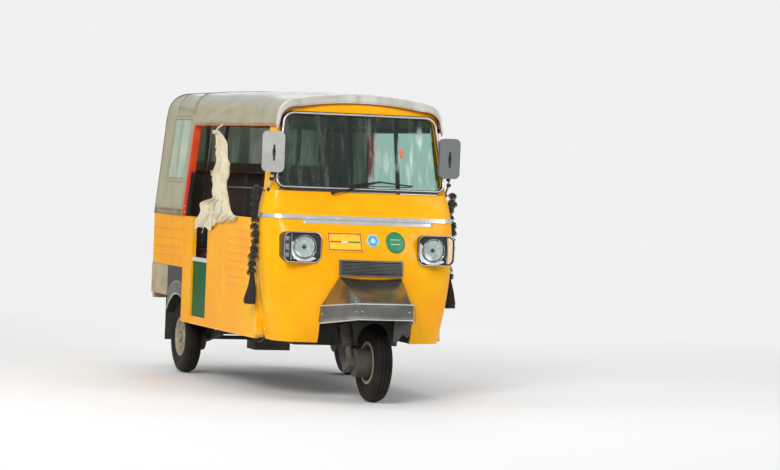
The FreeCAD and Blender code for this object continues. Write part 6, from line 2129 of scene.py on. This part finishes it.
def make_controls():
    """Ribbed grips, switch boxes and hand levers."""
    bm = bmesh.new()
    for side in SIDES:
        inner, outer = steered(side * 0.210, 0.052, BAR_UP), steered(side * 0.300, 0.130, BAR_UP)
        way = (outer - inner).normalized()
        profile = [(0.0, 0.0125)]
        for rib in range(9):
            at = 0.010 + rib * 0.011
            profile += [(at, 0.0165), (at + 0.007, 0.0165), (at + 0.0075, 0.0145)]
        profile += [(0.116, 0.0185), (0.121, 0.017), (0.121, 0.0)]
        lathe(bm, profile, inner, way, 20)
        box_at = steered(side * 0.186, 0.030, BAR_UP)
        turn = Matrix.Translation(box_at) @ way.to_track_quat("Y", "Z").to_matrix().to_4x4()
        brick(bm, (-0.017, -0.020, -0.020), (0.017, 0.020, 0.020), 0.005, turn=turn)
        pivot = box_at + way * 0.008 + Vector((0, -0.026, -0.006))
        tube(bm, [box_at, pivot, pivot + way * 0.050 + Vector((0, -0.014, -0.006)),
                  pivot + way * 0.115 + Vector((0, -0.010, -0.010))], 0.0042, 1)
    publish(bm, "grips_and_levers", "dash_plastic", "moulded_black", "bright_trim", sharp=40,
            body="steering")


MATS = (  # half width, along from, to; first rib, pitch, width, top, count, rounding of the ribs
    (0.440, -0.800, -0.470, -0.785, 0.0232, 0.008, 0.4015, 14, 0.0015),
    (0.560, 0.110, 0.570, 0.125, 0.0158, 0.006, 0.4010, 28, 0.0012),
)


def make_cabin_floor():
    """Ribbed mats and the two pedals."""
    bm = bmesh.new()
    for half, y0, y1, first, pitch, wide, top, count, rounding in MATS:
        brick(bm, (-half, y0, 0.3925), (half, y1, 0.3985), 0.003)
        for number in range(count):
            y = first + number * pitch
            brick(bm, (0.015 - half, y, 0.397), (half - 0.015, y + wide, top), rounding)
    for x in (0.190, 0.290):
        tube(bm, [(x, -0.800, 0.396), (x, -0.812, 0.430), (x, -0.790, 0.470)], 0.007, 1)
        brick(bm, (x - 0.032, -0.800, 0.462), (x + 0.032, -0.776, 0.512), 0.006)
    publish(bm, "floor_mats", "seal_rubber", "moulded_black", "dark_metal")


class RICKSHAW_OT_cabin(bpy.types.Operator):
    """Add the dials, switches, grips, levers, mats and pedals"""
    bl_idname = "rickshaw.cabin"
    bl_label = "Cabin"

    def execute(self, context):
        make_dials()
        make_controls()
        make_cabin_floor()
        return {"FINISHED"}


# Tail and sides
TAIL_FACE_Y = 1.545


def make_tail_parts():
    """Rims of the tail lamps, and the lid's blank plate and handle."""
    bm = bmesh.new()
    back = TAIL_FACE_Y + 0.0165
    for side in SIDES:
        x = side * 0.560
        frame_ring(bm, x - 0.075, x + 0.075, 0.825, 0.965, TAIL_FACE_Y + 0.001, 0.012, 0.006, -0.016)
        for z in (0.872, 0.920):
            brick(bm, (x - 0.070, TAIL_FACE_Y + 0.010, z - 0.0015), (x + 0.070, back, z + 0.0015), 0.0005)
        brick(bm, (x - 0.066, TAIL_FACE_Y + 0.012, 0.923), (x + 0.066, back, 0.957), 0.002, 1)
        for bolt_x in (x - 0.060, x + 0.060):
            bolt(bm, (bolt_x, back, 0.841), ALONG, 0.003)
    publish(bm, "tail_lamp_rims", "lamp_bezel", "lamp_black", "amber")
    bm = bmesh.new()
    brick(bm, (-0.150, 1.561, 0.975), (0.150, 1.564, 1.040), 0.001)
    for x in (-0.120, 0.120):
        bolt(bm, (x, 1.564, 1.026), ALONG, 0.004, 1)
        brick(bm, (x - 0.012, 1.544, 1.000), (x + 0.012, 1.562, 1.030), 0.001, 1)
    handle = ((-0.080, 1.545), (-0.080, 1.568), (0.080, 1.568), (0.080, 1.545))
    tube(bm, [(x, y, 0.590) for x, y in handle], 0.006, 1)
    publish(bm, "lid_plate_and_handle", "trim_metal", "plate_enamel", "dark_metal", body="rear_lid")


ARCH_Y, ARCH_R = WHEELS[1][2], 0.303
ARCH_TURN = (37.5, 110.5)    # first and last angle of the arch's bead, in degrees
BAND_Y, BAND_WIDTH = (0.813, 1.157), 0.095
QUARTER_BOLTS = ((0.628, 0.470), (0.628, 0.620), (0.628, 0.800), (1.480, 0.470), (1.500, 0.760))
STRIP_BOLTS = ((0.748, 1.135), (0.752, 1.175))
CREASE_Y, CREASE = -0.140, (0.575, 0.65, 0.73, 0.81, 0.89, 0.96, 1.005)
PANEL_FRONT_Y = -0.832
COWL_EDGE = (  # height, and the cowl's half width at its rear edge
    (0.366, 0.5660), (0.42, 0.5757), (0.46, 0.5837), (0.50, 0.5920), (0.55, 0.6021),
    (0.60, 0.6110), (0.70, 0.6250), (0.80, 0.6340), (0.90, 0.6400),
)
JAMB_Z, JAMB_HEIGHT = 0.372, 0.50
RODS = (  # from, to, radius: the grab rail between the hood's posts, and the stay behind the bench
    ((-0.641, 0.097, 1.325), (0.641, 0.097, 1.325), 0.006),
    ((-0.364, 1.521, 1.096), (-0.326, 1.461, 1.826), 0.007),
)


def make_side_trim():
    """Bolts on the rear quarters and pillar strips, and the right panel's crease."""
    bm = bmesh.new()
    for side, node in zip(SIDES, ("rear_quarter_right", "rear_quarter_left")):
        for y, z in QUARTER_BOLTS:
            try:
                place, normal = touch(node, (side * CLEAR, y, z), (-side, 0, 0))
            except RuntimeError:
                continue
            bolt(bm, place, normal, 0.005)
    for y, z in STRIP_BOLTS:
        x = hood_half(y, z) + 0.009
        for side in SIDES:
            bolt(bm, (side * x, y, z), (side, 0, 0), 0.0045)
    publish(bm, "side_bolts", "trim_metal", "bright_trim")
    bm = bmesh.new()
    tube(bm, [touch("side_panel_right", (-CLEAR, CREASE_Y + 0.004 * math.sin(z * 9), z), ACROSS)[0]
              for z in CREASE], 0.0035, bent=False)
    publish(bm, "panel_crease", "body_yellow", "body_paint")


def make_fender_trim():
    """The bead round each rear wheel's arch, and the bright band of worn steel over it, which also stands
    for the painted highlight on the fender over the arch.
    """
    bm = bmesh.new()
    for side in SIDES:
        arch = []
        for step in range(33):
            angle = math.radians(ARCH_TURN[0] + (ARCH_TURN[1] - ARCH_TURN[0]) * step / 32)
            y, z = ARCH_Y + ARCH_R * math.cos(angle), WHEEL_Z + ARCH_R * math.sin(angle)
            arch.append(Vector((side * (side_x(y) - 0.001), y, z)))
        tube(bm, arch, 0.0065, bent=False)
    publish(bm, "fender_beads", "rim_silver", "bright_steel")
    # Partly painted highlight: a band of bright worn steel where the dark fender catches the light over
    # the arch
    bm = bmesh.new()
    for side in SIDES:
        def band(u, v, side=side):
            y = BAND_Y[0] + (BAND_Y[1] - BAND_Y[0]) * u
            low, high = (WHEEL_Z + math.sqrt(radius ** 2 - (y - ARCH_Y) ** 2)
                         for radius in (ARCH_R, ARCH_R + BAND_WIDTH))
            return Vector((side * (side_x(y) - 0.0005), y, low + (high - low) * v))
        lay(bm, 40, 6, band)
    publish(bm, "fender_bands", "rim_silver", "worn_steel", wall=0.0015, offset=0.0)


def make_jamb_trim():
    """The flanges that close the side panels to the cowl, the lips under them, and the rods."""
    bm = bmesh.new()
    for side in SIDES:
        def flange(u, v, side=side):
            z = JAMB_Z + JAMB_HEIGHT * v
            inner, outer = between(COWL_EDGE, z)[1], side_x(PANEL_FRONT_Y)
            return Vector((side * (inner + (outer - 0.001 - inner) * u), PANEL_FRONT_Y - 0.004, z))
        lay(bm, 5, 16, flange)
        heights = (0.378,) + tuple(z for z, _ in COWL_EDGE[1:-1]) + (0.88,)
        tube(bm, [Vector((side * (between(COWL_EDGE, z)[1] - 0.001), PANEL_FRONT_Y - 0.009, z))
                  for z in heights], 0.0045, bent=False)
    publish(bm, "jamb_flanges", "body_yellow", "body_paint", wall=0.0015, offset=0.0)
    bm = bmesh.new()
    for side, node in zip(SIDES, ("side_panel_right", "side_panel_left")):
        low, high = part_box(node)
        tube(bm, [Vector((side * (side_x(y) + 0.001), y, low.z + 0.005))
                  for y in (low.y + 0.010, high.y - 0.010)], 0.006, bent=False)
    publish(bm, "sill_lips", "body_yellow", "body_paint")
    bm = bmesh.new()
    for start, end, radius in RODS:
        bar(bm, start, end, radius)
    publish(bm, "cabin_rods", "trim_metal", "bright_trim")


class RICKSHAW_OT_tail(bpy.types.Operator):
    """Add the tail lamps' rims, the blank plate, the handle and the sides' small parts"""
    bl_idname = "rickshaw.tail"
    bl_label = "Tail and sides"

    def execute(self, context):
        make_tail_parts()
        make_side_trim()
        make_fender_trim()
        make_jamb_trim()
        return {"FINISHED"}


STEPS = (RICKSHAW_OT_finishes, RICKSHAW_OT_hood, RICKSHAW_OT_nose,
         RICKSHAW_OT_head_lamps, RICKSHAW_OT_windscreen, RICKSHAW_OT_front_gear,
         RICKSHAW_OT_wheels, RICKSHAW_OT_front_wrap, RICKSHAW_OT_seats,
         RICKSHAW_OT_curtain, RICKSHAW_OT_garlands, RICKSHAW_OT_mirrors,
         RICKSHAW_OT_cabin, RICKSHAW_OT_tail, RICKSHAW_OT_stage)


class RICKSHAW_PT_panel(bpy.types.Panel):
    """Lists the steps and the values that they read"""
    bl_idname = "RICKSHAW_PT_panel"
    bl_label = "Auto Rickshaw"
    bl_space_type = "VIEW_3D"
    bl_region_type = "UI"
    bl_category = "Rickshaw"

    def draw(self, context):
        for step in STEPS:
            self.layout.operator(step.bl_idname)
        for name, group in GROUPS:
            values = getattr(context.scene, name)
            box = self.layout.box()
            for field in group.__annotations__:
                box.prop(values, field)


def register():
    for name, group in GROUPS:
        bpy.utils.register_class(group)
        setattr(bpy.types.Scene, name, PointerProperty(type=group))
    for step in STEPS:
        bpy.utils.register_class(step)
    bpy.utils.register_class(RICKSHAW_PT_panel)


def unregister():
    bpy.utils.unregister_class(RICKSHAW_PT_panel)
    for step in reversed(STEPS):
        bpy.utils.unregister_class(step)
    for name, group in reversed(GROUPS):
        delattr(bpy.types.Scene, name)
        bpy.utils.unregister_class(group)


def main():
    register()
    for step in STEPS:
        area, operator = step.bl_idname.split(".")
        getattr(getattr(bpy.ops, area), operator)()
    bpy.context.view_layer.update()


if __name__ == "__main__":
    main()
